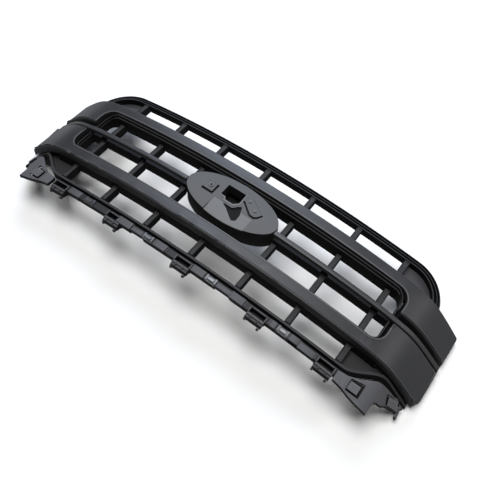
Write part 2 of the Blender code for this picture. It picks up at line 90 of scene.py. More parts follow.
# How the whole grille bows back, and where it turns at the knee into the side of the wing
BOW = 0.1965
KNEE = (0.483, 0.015, 0.862)  # start, radius and slope, for the lip, brackets and end panels
SKIN_KNEE = (0.486, 0.040, 0.8545)  # the same for the face, which turns in a softer curve

# Levels and lines of the face, in metres from the grille's own zero
HALF_WIDTH = CAD_HIGH.x
FACE_LEVEL = 0.033
SKIRT = 0.022
BAR_TOP, BAR_FOOT, LOWER_WING_FOOT = 0.0585, -0.143, -0.121
OPENING_X, OPENING_TOP, OPENING_FOOT, OPENING_RADIUS = 0.440, 0.031, -0.113, 0.030
GROOVE_TOP, GROOVE_FOOT, GROOVE_RISE = -0.024, -0.0513, 0.005
MIDDLE_Y = -0.043
LATTICE_BACK = -0.0205
SLAT_FRONT = 0.0085
BEZEL_X, BEZEL_TOP, BEZEL_FOOT, BEZEL_RADIUS = 0.432, 0.0295, -0.1125, 0.026
BEZEL_FRONT, BEZEL_DIP, BEZEL_RUN = 0.026, 0.011, 0.406
BADGE_Y, BADGE_FACE = -0.0364, 0.0305
BADGE_A = (BADGE_HIGH.x - BADGE_LOW.x) / 2
BADGE_B = (BADGE_HIGH.y - BADGE_LOW.y) / 2
RIM_TOP, RIM_CORNER_X, RIM_RADIUS, RIM_WIDTH = 0.137, 0.412, 0.095, 0.021
BOTTOM_Y, BOTTOM_RISE, S_START, S_END, LIP_END = -0.1922, 0.043, 0.405, 0.495, 0.553
FLANGE_TOP, FLANGE_FOOT, FLANGE_END = -0.1962, -0.2165, 0.3995
POST_PITCH = 0.130
ORIGIN = Vector((0.0, (BADGE_LOW.y + BADGE_HIGH.y) / 2 - BADGE_Y, BADGE_HIGH.z - BADGE_FACE))
ROWS = {1: (0.0555, 0.116), 2: (-0.0355, 0.024), 3: (-0.107, -0.049), 4: (-0.1889, -0.1435)}
LATCH_X = (-0.374, -0.201, 0.0, 0.201, 0.374)
CLIP_X = (-0.2805, -0.101, 0.0755, 0.264)
SIDES = ((-1, "left"), (1, "right"))


# ---------------------------------------------------------------- shape laws


def bow(x):
    """How far the lattice lies behind its level at the centre line."""
    return BOW * x * x


def turned(x, start, radius, slope):
    """The bow, with a smooth knee past start that turns it into the side of the wing."""
    past = abs(x) - start
    return bow(x) + slope * (math.hypot(past, radius) + past) / 2


def wrap(x):
    """How far the lip, brackets and end panels lie behind their level at the centre line."""
    return turned(x, *KNEE)


def skin(x):
    """How far the face lies behind its level on the centre line."""
    return turned(x, *SKIN_KNEE)


def spread(start, end, count):
    """Evenly spaced values, both ends included."""
    return [start + (end - start) * i / (count - 1) for i in range(count)]


def clamped(value):
    return min(1.0, max(0.0, value))


def groove_rise(x):
    """The groove between the wings climbs a little from the opening to the wing's tip."""
    return GROOVE_RISE * max(0.0, (abs(x) - OPENING_X) / (HALF_WIDTH - OPENING_X))


def bottom_y(x):
    """Height of the bottom rim's lip, which climbs to the wing in an S."""
    t = clamped((abs(x) - S_START) / (S_END - S_START))
    return BOTTOM_Y + BOTTOM_RISE * t * t * (3 - 2 * t)


def skin_stations():
    """Where the skin needs an edge across it: closely over the knee, further apart elsewhere."""
    half = spread(0.0, 0.430, 37) + spread(0.440, 0.530, 31) + spread(0.535, 0.570, 8)
    return sorted({-x for x in half} | set(half))


# ---------------------------------------------------------------- outlines


def rounded(corners, steps=6):
    """An outline of (x, y, radius) corners, with each corner turned into an arc."""
    points = []
    count = len(corners)
    for i, (x, y, radius) in enumerate(corners):
        before, here, after = (Vector(corners[j % count][:2]) for j in (i - 1, i, i + 1))
        if radius <= 0:
            points.append((x, y))
            continue
        back, ahead = (before - here).normalized(), (after - here).normalized()
        half = back.angle(ahead) / 2
        reach = radius / math.tan(half)
        centre = here + (back + ahead).normalized() * radius / math.sin(half)
        start, end = here + back * reach - centre, here + ahead * reach - centre
        turn = math.pi - 2 * half
        if start.x * end.y - start.y * end.x < 0:
            turn = -turn
        for k in range(steps + 1):
            a = turn * k / steps
            points.append((
                centre.x + start.x * math.cos(a) - start.y * math.sin(a),
                centre.y + start.x * math.sin(a) + start.y * math.cos(a),
            ))
    return points


def inset(loop, distance):
    """The outline moved inwards; it runs anticlockwise."""
    moved = []
    count = len(loop)
    for i, (x, y) in enumerate(loop):
        first = Vector((x, y)) - Vector(loop[i - 1])
        second = Vector(loop[(i + 1) % count]) - Vector((x, y))
        n1 = Vector((-first.y, first.x)).normalized()
        n2 = Vector((-second.y, second.x)).normalized()
        step = (n1 + n2) * distance / (1 + max(-0.9, n1.dot(n2)))
        moved.append((x + step.x, y + step.y))
    return moved


def divided(loop, longest):
    """The outline with points added so that no side is longer than this."""
    points = []
    for i, (x, y) in enumerate(loop):
        nx, ny = loop[(i + 1) % len(loop)]
        parts = max(1, math.ceil(math.hypot(nx - x, ny - y) / longest))
        points += [(x + (nx - x) * k / parts, y + (ny - y) * k / parts) for k in range(parts)]
    return points


def ellipse(a, b, cy, count=96):
    angles = [2 * math.pi * i / count for i in range(count)]
    return [(a * math.cos(t), cy + b * math.sin(t)) for t in angles]


def mirrored(loop):
    """The same outline on the other side of the centre line, still anticlockwise."""
    return [(-x, y) for x, y in reversed(loop)]


# ---------------------------------------------------------------- mesh tools


def ring_faces(bm, first, second):
    count = len(first)
    for i in range(count):
        j = (i + 1) % count
        bm.faces.new((first[i], first[j], second[j], second[i]))


def loop_edges(bm, verts):
    return [bm.edges.new((verts[i - 1], verts[i])) for i in range(len(verts))]


def cut_across(bm, stations):
    """Adds edges straight across the shape at each x, so that it can bend there."""
    for at in stations:
        geometry = bm.verts[:] + bm.edges[:] + bm.faces[:]
        bmesh.ops.bisect_plane(
            bm, geom=geometry, plane_co=(at, 0.0, 0.0), plane_no=(1.0, 0.0, 0.0), dist=1e-5
        )


def sheet(loop, profile, holes=(), stations=()):
    """A moulded skin: rings from the skirt's foot up over the rounded edge, then the flat.

    profile is (inset, depth) from the foot to the flat. Each hole is (outline, depth, floor):
    its walls go down by depth, and floor says whether they end in one.
    """
    bm = bmesh.new()
    rings = []
    for distance, depth in profile:
        rings.append([bm.verts.new((x, y, -depth)) for x, y in inset(loop, distance)])
    for first, second in zip(rings, rings[1:]):
        ring_faces(bm, first, second)
    known = {frozenset(e.verts): e for e in bm.edges}
    edges = [known[frozenset(pair)] for pair in zip(rings[-1][-1:] + rings[-1], rings[-1])]
    for outline, depth, floor in holes:
        rim = [bm.verts.new((x, y, 0.0)) for x, y in outline]
        edges += loop_edges(bm, rim)
        base = [bm.verts.new((x, y, -depth)) for x, y in outline]
        ring_faces(bm, rim, base)
        if floor:
            bm.faces.new(base)
    bmesh.ops.triangle_fill(bm, use_beauty=True, edges=edges, normal=(0, 0, 1))
    cut_across(bm, stations)
    return bm


def bent(bm, level, drop):
    """Moves a flat sheet onto the skin."""
    for v in bm.verts:
        v.co.z += level - drop(v.co.x)
    return bm


def closed_through(bm, rings):
    """A closed shape through rings of equally many points. Its faces are turned out later."""
    made = [[bm.verts.new(point) for point in ring] for ring in rings]
    for first, second in zip(made, made[1:]):
        ring_faces(bm, first, second)
    bm.faces.new(made[0])
    bm.faces.new(made[-1])


def loft(rings, closed=False):
    """One skin through rings of points, with an end cap at both ends unless the rings close up."""
    bm = bmesh.new()
    if not closed:
        closed_through(bm, rings)
        return bm
    made = [[bm.verts.new(point) for point in ring] for ring in rings]
    for first, second in zip(made, made[1:] + made[:1]):
        ring_faces(bm, first, second)
    return bm


def block(bm, low, high, chamfer=0.0):
    """A box between two corners, with its front edges chamfered."""
    c = chamfer
    (x0, y0, z0), (x1, y1, z1) = low, high
    back = [(x0, y0, z0), (x1, y0, z0), (x1, y1, z0), (x0, y1, z0)]
    side = [(x, y, z1 - c) for x, y, _ in back]
    front = [(x0 + c, y0 + c, z1), (x1 - c, y0 + c, z1)]
    front += [(x1 - c, y1 - c, z1), (x0 + c, y1 - c, z1)]
    closed_through(bm, (back, side, front) if c else (back, front))


def mesh_from(bm, name, weld=1e-6):
    if weld:
        bmesh.ops.remove_doubles(bm, verts=bm.verts, dist=weld)
    bmesh.ops.recalc_face_normals(bm, faces=bm.faces)
    mesh = bpy.data.meshes.new(name)
    bm.to_mesh(mesh)
    bm.free()
    return mesh


def new_object(name, mesh):
    obj = bpy.data.objects.new(name, mesh)
    bpy.context.scene.collection.objects.link(obj)
    return obj


def face_out(obj):
    """An open sheet is turned so that its largest face looks out of the front."""
    largest = max(obj.data.polygons, key=lambda p: p.area * abs(p.normal.z))
    if largest.normal.z < 0:
        obj.data.flip_normals()


def thicken(obj, thickness):
    """Gives an open skin a wall behind it."""
    modifier = obj.modifiers.new("Wall", "SOLIDIFY")
    modifier.thickness = thickness
    modifier.offset = -1.0
    return obj


def bevel(obj, width):
    modifier = obj.modifiers.new("Edges", "BEVEL")
    modifier.width = width
    modifier.segments = 1
    modifier.limit_method = "ANGLE"
    modifier.angle_limit = math.radians(40)
    modifier.use_clamp_overlap = True


def plain(obj):
    """Turns what the modifiers make into the object's own mesh."""
    bpy.context.view_layer.update()
    graph = bpy.context.evaluated_depsgraph_get()
    mesh = bpy.data.meshes.new_from_object(obj.evaluated_get(graph), depsgraph=graph)
    obj.modifiers.clear()
    obj.data = mesh
    return obj


def joined(obj, bm):
    """Adds closed shapes to an object's mesh, with their faces turned out."""
    bmesh.ops.recalc_face_normals(bm, faces=bm.faces)
    extra = bpy.data.meshes.new("extra")
    bm.to_mesh(extra)
    bm.free()
    merged = bmesh.new()
    merged.from_mesh(obj.data)
    merged.from_mesh(extra)
    bpy.data.meshes.remove(extra)
    merged.to_mesh(obj.data)
    merged.free()


def finish_piece(obj, material, nodes, angle=32, tone=None):
    """Moves the piece to the frame's place, shades it and hands it to the frame.

    tone gives each face a value from its centre and normal, which the finish reads: towards 1
    the face gets a painted highlight, towards -1 painted shade, down to a colour that holds no
    light.
    Edges sharper than the angle stay sharp.
    """
    plain(obj)
    if tone:
        values = obj.data.attributes.new("tone", "FLOAT", "FACE")
        values.data.foreach_set("value", [tone(p.center, p.normal) for p in obj.data.polygons])
    obj.data.transform(Matrix.Translation(ORIGIN))
    obj.data.materials.clear()
    obj.data.materials.append(material)
    for polygon in obj.data.polygons:
        polygon.use_smooth = True
        polygon.material_index = 0
    obj.data.set_sharp_from_angle(angle=math.radians(angle))
    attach(obj, "root")
    if nodes:
        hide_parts(*nodes)


# ---------------------------------------------------------------- repeated pieces


def repeat_tree():
    """Geometry Nodes: one form set on every point, turned and sized by the point's attributes."""
    found = bpy.data.node_groups.get("Repeat along the grille")
    if found:
        return found
    tree = bpy.data.node_groups.new("Repeat along the grille", "GeometryNodeTree")
    face = tree.interface
    face.new_socket("Geometry", in_out="INPUT", socket_type="NodeSocketGeometry")
    face.new_socket("Form", in_out="INPUT", socket_type="NodeSocketObject")
    for word in ("Width", "Height", "Depth"):
        socket = face.new_socket(word, in_out="INPUT", socket_type="NodeSocketFloat")
        socket.default_value = 1.0
    face.new_socket("Material", in_out="INPUT", socket_type="NodeSocketMaterial")
    face.new_socket("Geometry", in_out="OUTPUT", socket_type="NodeSocketGeometry")
    add = tree.nodes.new
    start, end = add("NodeGroupInput"), add("NodeGroupOutput")
    form, place = add("GeometryNodeObjectInfo"), add("GeometryNodeInstanceOnPoints")
    realize, paint = add("GeometryNodeRealizeInstances"), add("GeometryNodeSetMaterial")
    scale, multiply = add("ShaderNodeCombineXYZ"), add("ShaderNodeVectorMath")
    multiply.operation = "MULTIPLY"
    reads = {}
    for word in ("turn", "size"):
        node = add("GeometryNodeInputNamedAttribute")
        node.data_type = "FLOAT_VECTOR"
        node.inputs["Name"].default_value = word
        reads[word] = node
    link = tree.links.new
    link(start.outputs["Form"], form.inputs["Object"])
    link(start.outputs["Geometry"], place.inputs["Points"])
    link(form.outputs["Geometry"], place.inputs["Instance"])
    link(reads["turn"].outputs["Attribute"], place.inputs["Rotation"])
    for axis, word in zip("XYZ", ("Width", "Height", "Depth")):
        link(start.outputs[word], scale.inputs[axis])
    link(scale.outputs["Vector"], multiply.inputs[0])
    link(reads["size"].outputs["Attribute"], multiply.inputs[1])
    link(multiply.outputs["Vector"], place.inputs["Scale"])
    link(place.outputs["Instances"], realize.inputs["Geometry"])
    link(realize.outputs["Geometry"], paint.inputs["Geometry"])
    link(start.outputs["Material"], paint.inputs["Material"])
    link(paint.outputs["Geometry"], end.inputs["Geometry"])
    return tree


def repeat(name, form_mesh, places, material, width=1.0, height=1.0, depth=1.0):
    """One mesh of the form at each place, given as (position, turn, size)."""
    form = bpy.data.objects.new(name + "_form", form_mesh)
    seats = bpy.data.meshes.new(name)
    seats.from_pydata([p for p, _, _ in places], [], [])
    for word, index in (("turn", 1), ("size", 2)):
        attribute = seats.attributes.new(word, "FLOAT_VECTOR", "POINT")
        attribute.data.foreach_set("vector", [v for p in places for v in p[index]])
    obj = new_object(name, seats)
    tree = repeat_tree()
    sockets = {s.name: s.identifier for s in tree.interface.items_tree if s.in_out == "INPUT"}
    modifier = obj.modifiers.new("Repeat", "NODES")
    modifier.node_group = tree
    modifier[sockets["Form"]] = form
    modifier[sockets["Width"]] = width
    modifier[sockets["Height"]] = height
    modifier[sockets["Depth"]] = depth
    modifier[sockets["Material"]] = material
    plain(obj)
    for word in ("turn", "size"):
        if word in obj.data.attributes:
            obj.data.attributes.remove(obj.data.attributes[word])
    bpy.data.objects.remove(form)
    return obj


def lean(x):
    """The turn about Y that lays a piece along the bow at x."""
    return (0.0, math.atan(2 * BOW * x), 0.0)


# ---------------------------------------------------------------- finishes


CLOUD_SCALE, SPECK_SCALE, PORE_SCALE = 9.0, 900.0, 2600.0  # plastic, in cycles per metre
GRAIN_DEPTH = 0.00012
# The first number lightens convex edges as a painted highlight, the second lightens faces whose
# tone is towards 1 as a painted highlight
EDGE_HIGHLIGHT, HIGHLIGHT_FACE = 3.6, 2.8  # how much lighter than the colour
NO_LIGHT = (0.002, 0.002, 0.002)
WALL_ROUGHNESS = 0.38  # added where a surface turns away from the front
ROLLING_SCALE, ROLLING_DEPTH, MOTTLE_SCALE = (60.0, 1400.0, 1400.0), 0.0001, 160.0  # steel

# Name: colour on the panel, roughness, grain, edge, gloss and wall, as moulded_plastic takes them.
# edge sets a painted highlight along edges, wall the painted shade on side walls.
PLASTICS = {
    "satin_skin": ("satin", 0.42, 0.22, 0.4, 0.4, 0.3),
    "matte_lattice": ("lattice", 0.62, 0.35, 0.7, 0.16, 0.3),
    # A darker copy of the lattice plastic: painted shade for deep walls and panels.
    "dark_recess": ("recess", 0.8, 0.3, 0.1, 0.12, 0.25),
    "badge_plastic": ("badge", 0.60, 0.4, 0.0, 0.35, 0.08),
    "fixing_plastic": ("fixing", 0.54, 0.3, 0.5, 0.2, 0.15),
}


def shader_of(name):
    material = bpy.data.materials.new(name)
    material.use_nodes = True
    return material, material.node_tree, material.node_tree.nodes["Principled BSDF"]


def noise(tree, coordinates, scale, detail, roughness=0.5):
    node = tree.nodes.new("ShaderNodeTexNoise")
    node.inputs["Scale"].default_value = scale
    node.inputs["Detail"].default_value = detail
    node.inputs["Roughness"].default_value = roughness
    tree.links.new(coordinates, node.inputs["Vector"])
    return node.outputs["Fac"]


def ranged(tree, value, low, high, to_low, to_high):
    """The value mapped from one range to another, and held inside it."""
    node = tree.nodes.new("ShaderNodeMapRange")
    words = ("From Min", "From Max", "To Min", "To Max")
    for word, number in zip(words, (low, high, to_low, to_high)):
        node.inputs[word].default_value = number
    tree.links.new(value, node.inputs["Value"])
    return node.outputs["Result"]


def added(tree, first, second):
    node = tree.nodes.new("ShaderNodeMath")
    node.operation = "ADD"
    tree.links.new(first, node.inputs[0])
    tree.links.new(second, node.inputs[1])
    return node.outputs["Value"]


def blended(tree, factor, first, second):
    """Two colours, or sockets that carry one, mixed by a factor socket."""
    node = tree.nodes.new("ShaderNodeMix")
    node.data_type = "RGBA"
    tree.links.new(factor, node.inputs["Factor"])
    colours = [s for s in node.inputs if s.type == "RGBA"]
    for socket, value in zip(colours, (first, second)):
        if isinstance(value, bpy.types.NodeSocket):
            tree.links.new(value, socket)
        else:
            socket.default_value = (*value, 1.0)
    return [s for s in node.outputs if s.type == "RGBA"][0]


def shaded(colour, factor):
    return tuple(min(1.0, c * factor) for c in colour)


def bumped(tree, shader, height, strength, distance):
    bump = tree.nodes.new("ShaderNodeBump")
    bump.inputs["Strength"].default_value = strength
    bump.inputs["Distance"].default_value = distance
    tree.links.new(height, bump.inputs["Height"])
    tree.links.new(bump.outputs["Normal"], shader.inputs["Normal"])


def moulded_plastic(name, colour, roughness, grain, edge, gloss, wall):
    """Moulded plastic: spark-eroded grain, cloudy colour, a painted highlight on edges and painted
    shade on side walls.

    grain is the strength of the bump and edge how far the painted edge highlight lightens. wall is
    the share of the colour that is left where the surface turns away from the front, as painted
    shade. The tone attribute adds a painted highlight towards 1 and painted shade towards -1.
    """
    material, tree, shader = shader_of(name)
    coordinates = tree.nodes.new("ShaderNodeTexCoord").outputs["Object"]
    surface = tree.nodes.new("ShaderNodeNewGeometry").outputs
    cloud = noise(tree, coordinates, CLOUD_SCALE, 4.0)
    speck = noise(tree, coordinates, SPECK_SCALE, 2.0, 0.6)
    pores = noise(tree, coordinates, PORE_SCALE, 1.0)
    patches = ranged(tree, cloud, 0.3, 0.7, 0.0, 1.0)
    tone = blended(tree, patches, shaded(colour, 0.86), shaded(colour, 1.12))
    flecks = ranged(tree, speck, 0.35, 0.75, 0.0, 0.35)
    tone = blended(tree, flecks, tone, shaded(colour, 1.5))
    # Convex edges found by pointiness are lightened: a painted highlight.
    edge_highlight = ranged(tree, surface["Pointiness"], 0.51, 0.58, 0.0, edge)
    tone = blended(tree, edge_highlight, tone, shaded(colour, EDGE_HIGHLIGHT))
    apart = tree.nodes.new("ShaderNodeSeparateXYZ")
    tree.links.new(surface["Normal"], apart.inputs["Vector"])
    # Faces that turn away from the front keep only the wall share of the colour: painted shade.
    facing = ranged(tree, apart.outputs["Z"], 0.5, 0.97, 0.0, 1.0)
    tone = blended(tree, facing, shaded(colour, wall), tone)
    # The tone attribute: towards 1 a painted highlight, towards -1 painted shade down to NO_LIGHT.
    own = tree.nodes.new("ShaderNodeAttribute")
    own.attribute_name = "tone"
    highlighted = ranged(tree, own.outputs["Fac"], 0.0, 1.0, 0.0, 1.0)
    tone = blended(tree, highlighted, tone, shaded(colour, HIGHLIGHT_FACE))
    sunk = ranged(tree, own.outputs["Fac"], 0.0, -1.0, 0.0, 1.0)
    tone = blended(tree, sunk, tone, NO_LIGHT)
    tree.links.new(tone, shader.inputs["Base Color"])
    rough = ranged(tree, cloud, 0.25, 0.75, roughness - 0.05, roughness + 0.06)
    side_on = ranged(tree, facing, 0.0, 1.0, WALL_ROUGHNESS, 0.0)
    tree.links.new(added(tree, rough, side_on), shader.inputs["Roughness"])
    bumped(tree, shader, added(tree, speck, pores), grain, GRAIN_DEPTH)
    shader.inputs["Specular IOR Level"].default_value = gloss
    return material


def spring_steel(name, colour):
    """Rolled and plated steel strip: fine lines along the strip and a mottled plating."""
    material, tree, shader = shader_of(name)
    coordinates = tree.nodes.new("ShaderNodeTexCoord").outputs["Object"]
    mapping = tree.nodes.new("ShaderNodeMapping")
    mapping.inputs["Scale"].default_value = ROLLING_SCALE
    tree.links.new(coordinates, mapping.inputs["Vector"])
    lines = noise(tree, mapping.outputs["Vector"], 1.0, 3.0)
    mottle = ranged(tree, noise(tree, coordinates, MOTTLE_SCALE, 3.0), 0.3, 0.7, 0.0, 1.0)
    tone = blended(tree, mottle, shaded(colour, 0.8), shaded(colour, 1.15))
    tree.links.new(tone, shader.inputs["Base Color"])
    tree.links.new(ranged(tree, lines, 0.2, 0.8, 0.38, 0.6), shader.inputs["Roughness"])
    bumped(tree, shader, lines, 0.25, ROLLING_DEPTH)
    shader.inputs["Metallic"].default_value = 1.0
    return material


def finish(name):
    """The finish of this name, made from the panel's colours when it is first asked for."""
    found = bpy.data.materials.get(name)
    if found:
        return found
    colours = bpy.context.scene.grille_colours
    if name == "clip_steel_finish":
        return spring_steel(name, colours.steel)
    colour, *values = PLASTICS[name]
    return moulded_plastic(name, getattr(colours, colour), *values)


# ---------------------------------------------------------------- settings


class GrilleSizes(bpy.types.PropertyGroup):
    edge_radius: bpy.props.FloatProperty(
        name="Edge radius", description="Rounding of the broad bars' front edges",
        default=0.0036, min=0.001, max=0.005, unit="LENGTH", subtype="DISTANCE")
    skin_wall: bpy.props.FloatProperty(
        name="Skin wall", description="Wall thickness of the two face mouldings",
        default=0.0028, min=0.001, max=0.004, unit="LENGTH", subtype="DISTANCE")
    post_width: bpy.props.FloatProperty(
        name="Post width", description="Width of a lattice post",
        default=0.0142, min=0.010, max=0.018, unit="LENGTH", subtype="DISTANCE")
    post_depth: bpy.props.FloatProperty(
        name="Post depth", description="Depth of a lattice post from front to back",
        default=0.021, min=0.010, max=0.022, unit="LENGTH", subtype="DISTANCE")
    latch_width: bpy.props.FloatProperty(
        name="Latch width", description="Width of a snap latch over its side cheeks",
        default=0.046, min=0.030, max=0.050, unit="LENGTH", subtype="DISTANCE")


class GrilleColours(bpy.types.PropertyGroup):
    satin: bpy.props.FloatVectorProperty(
        name="Satin skin", description="Broad bars, wings and thin middle bar",
        default=(0.020, 0.020, 0.022), min=0.0, max=1.0, subtype="COLOR")
    lattice: bpy.props.FloatVectorProperty(
        name="Lattice", description="Posts, slats, bezel and rims",
        default=(0.012, 0.012, 0.013), min=0.0, max=1.0, subtype="COLOR")
    # A darker copy of the lattice colour: painted shade for what sits deep.
    recess: bpy.props.FloatVectorProperty(
        name="Recess", description="Deep walls and panels that sit in shade",
        default=(0.006, 0.006, 0.0065), min=0.0, max=1.0, subtype="COLOR")
    badge: bpy.props.FloatVectorProperty(
        name="Badge base", description="Oval badge pedestal",
        default=(0.056, 0.057, 0.060), min=0.0, max=1.0, subtype="COLOR")
    fixing: bpy.props.FloatVectorProperty(
        name="Fixings", description="Flange, latches and corner brackets",
        default=(0.034, 0.034, 0.037), min=0.0, max=1.0, subtype="COLOR")
    steel: bpy.props.FloatVectorProperty(
        name="Spring steel", description="Clips in the flange",
        default=(0.115, 0.118, 0.125), min=0.0, max=1.0, subtype="COLOR")


# ---------------------------------------------------------------- face mouldings


def edge_profile(radius, skirt):
    """(inset, depth) pairs from the skirt's foot over the rounded front edge."""
    arc = spread(0.0, math.pi / 2, 6)
    return [(0.0, skirt)] + [(radius * (1 - math.cos(a)), radius * (1 - math.sin(a))) for a in arc]


# The bead: where it starts beside the middle bar, then its own middle, half width and height
BEAD_START = 0.022
BEAD_MIDDLE, BEAD_HALF, BEAD_HEIGHT = 0.0021, 0.0019, 0.0011


def bead(up):
    """The rounded bead along the edge of the opening, round both of its corners."""
    edge = OPENING_TOP if up > 0 else OPENING_FOOT
    turn_x, turn_y = OPENING_X - OPENING_RADIUS, edge - up * OPENING_RADIUS
    path = [((OPENING_X, y), (1.0, 0.0)) for y in (MIDDLE_Y + up * BEAD_START, turn_y)]
    for a in spread(0.0, math.pi / 2, 12)[1:]:
        nx, ny = math.cos(a), up * math.sin(a)
        path.append(((turn_x + OPENING_RADIUS * nx, turn_y + OPENING_RADIUS * ny), (nx, ny)))
    path += [((x, edge), (0.0, float(up))) for x in spread(turn_x, 0.0, 36)[1:]]
    path += [((-x, y), (-nx, ny)) for (x, y), (nx, ny) in reversed(path[:-1])]
    section = [(0.0002, -0.0040), (0.0002, -0.0010)]
    for a in spread(0.3, math.pi - 0.3, 7):
        section.append((BEAD_MIDDLE - BEAD_HALF * math.cos(a), BEAD_HEIGHT * math.sin(a)))
    section += [(0.0040, -0.0010), (0.0040, -0.0040)]
    rings = []
    for (x, y), (nx, ny) in path:
        ring = [(x + nx * across, y + ny * across, height) for across, height in section]
        rings.append([(px, py, FACE_LEVEL + pz - skin(px)) for px, py, pz in ring])
    return loft(rings)


def face_moulding(name, right, nodes, up):
    """One moulding of the face from the corners of its right half: skin, wall and bead."""
    sizes = bpy.context.scene.grille_sizes
    corners = right + [(-x, y, radius) for x, y, radius in reversed(right)]
    profile = edge_profile(sizes.edge_radius, SKIRT)
    bm = bent(sheet(rounded(corners), profile, stations=skin_stations()), FACE_LEVEL, skin)
    obj = new_object(name, mesh_from(bm, name))
    face_out(obj)
    plain(thicken(obj, sizes.skin_wall))
    joined(obj, bead(up))

    # Painted highlight on the bead, painted shade on the skirt's walls.
    def tone(centre, normal):
        depth = FACE_LEVEL - skin(centre.x) - centre.z
        on_bead, on_wall = depth < -0.0004, depth > 0.0042
        return 1.0 if on_bead else -0.5 * on_wall

    finish_piece(obj, finish("satin_skin"), nodes, tone=tone)


class GRILLE_OT_upper_moulding(bpy.types.Operator):
    """Upper broad bar and the wings at its ends, as one moulding"""

    bl_idname = "grille.upper_moulding"
    bl_label = "Upper Moulding"

    def execute(self, context):
        right = [
            (OPENING_X, OPENING_TOP, OPENING_RADIUS),
            (OPENING_X, GROOVE_TOP, 0.003),
            (HALF_WIDTH, GROOVE_TOP + GROOVE_RISE, 0.003),
            (HALF_WIDTH, BAR_TOP, 0.004),
        ]
        nodes = ["upper_bar", "upper_wing_left", "upper_wing_right"]
        face_moulding("upper_moulding", right, nodes, 1)
        return {"FINISHED"}


class GRILLE_OT_lower_moulding(bpy.types.Operator):
    """Lower broad bar and the wings at its ends, as one moulding"""

    bl_idname = "grille.lower_moulding"
    bl_label = "Lower Moulding"

    def execute(self, context):
        right = [
            (HALF_WIDTH - 0.010, BAR_FOOT, 0.003),
            (HALF_WIDTH, LOWER_WING_FOOT, 0.004),
            (HALF_WIDTH, GROOVE_FOOT + GROOVE_RISE, 0.003),
            (OPENING_X, GROOVE_FOOT, 0.003),
            (OPENING_X, OPENING_FOOT, OPENING_RADIUS),
        ]
        nodes = ["lower_bar", "lower_wing_left", "lower_wing_right"]
        face_moulding("lower_moulding", right, nodes, -1)
        return {"FINISHED"}


STRIP_DIP = 0.002  # how far the strip drops as it enters the groove


def strip_section():
    """(across, depth) points of the thin middle bar, rounded along both front edges."""
    half, radius = 0.006, 0.0022
    side = [(-0.0048, 0.010), (-half, 0.009)]
    for a in spread(0.0, math.pi / 2, 4):
        side.append((-half + radius * (1 - math.cos(a)), radius * (1 - math.sin(a))))
    return side + [(-across, depth) for across, depth in reversed(side)]


class GRILLE_OT_middle_strips(bpy.types.Operator):
    """Thin middle bar on each side of the badge, running out along the wing's groove"""

    bl_idname = "grille.middle_strips"
    bl_label = "Middle Strips"

    def execute(self, context):
        stations = spread(BADGE_A + 0.0015, 0.430, 28) + spread(0.437, 0.530, 24)
        stations += spread(0.537, HALF_WIDTH - 0.001, 6)
        section = strip_section()
        for side, word in SIDES:
            rings = []
            for x in stations:
                y = MIDDLE_Y + 1.6 * groove_rise(x)
                level = FACE_LEVEL - STRIP_DIP * clamped((x - 0.42) / 0.04) - skin(x)
                rings.append([(side * x, y + across, level - depth) for across, depth in section])
            obj = new_object(f"middle_strip_{word}", mesh_from(loft(rings), "strip"))
            nodes = [f"middle_bar_{word}"]
            finish_piece(obj, finish("satin_skin"), nodes)
        return {"FINISHED"}


# ---------------------------------------------------------------- lattice


class GRILLE_OT_bezel(bpy.types.Operator):
    """Ring that lines the opening, with a thin rounded lip"""

    bl_idname = "grille.bezel"
    bl_label = "Opening Bezel"

    def execute(self, context):
        corners = [
            (BEZEL_X, BEZEL_FOOT, BEZEL_RADIUS),
            (BEZEL_X, BEZEL_TOP, BEZEL_RADIUS),
            (-BEZEL_X, BEZEL_TOP, BEZEL_RADIUS),
            (-BEZEL_X, BEZEL_FOOT, BEZEL_RADIUS),
        ]
        loop = divided(rounded(corners, 12), 0.012)
        section = [(0.0, LATTICE_BACK), (0.0, -0.0016), (0.0005, -0.0005), (0.0014, 0.0)]
        section += [(0.0022, 0.0), (0.0029, -0.0005), (0.0034, -0.0016), (0.0036, -0.0080)]
        section += [(0.0055, -0.0100), (0.0055, LATTICE_BACK)]
        rings = []
        for distance, z in section:
            ring = []
            for x, y in inset(loop, distance):
                front = BEZEL_FRONT - BEZEL_DIP * clamped((abs(x) - BEZEL_RUN) / BEZEL_RADIUS)
                ring.append((x, y, (z if z == LATTICE_BACK else front + z) - bow(x)))
            rings.append(ring)
        obj = new_object("opening_bezel", mesh_from(loft(rings, closed=True), "bezel"))

        # Painted highlight on the lip's front, painted shade on the walls.
        def tone(centre, normal):
            return 1.0 if normal.z > 0.6 and centre.z + bow(centre.x) > 0.0125 else -0.8

        finish_piece(obj, finish("matte_lattice"), [], tone=tone)
        return {"FINISHED"}


def slat_section(x, low, high, notch):
    """A slat is a channel open at the back; a notch leaves its underside set back above a post."""
    front, back, wall = SLAT_FRONT, LATTICE_BACK, 0.0025
    step = -0.002
    points = [
        (low, back),
        (low, step),
        (low + notch, step + 0.0005),
        (low + notch, front - 0.001),
        (low + notch + 0.001, front),
        (high - 0.001, front),
        (high, front - 0.001),
        (high, back),
        (high - wall, back),
        (high - wall, front - wall),
        (low + notch + wall, front - wall),
        (low + notch + wall, step - wall),
        (low + wall, step - wall),
        (low + wall, back),
    ]
    return [(x, y, z - bow(x)) for y, z in points]


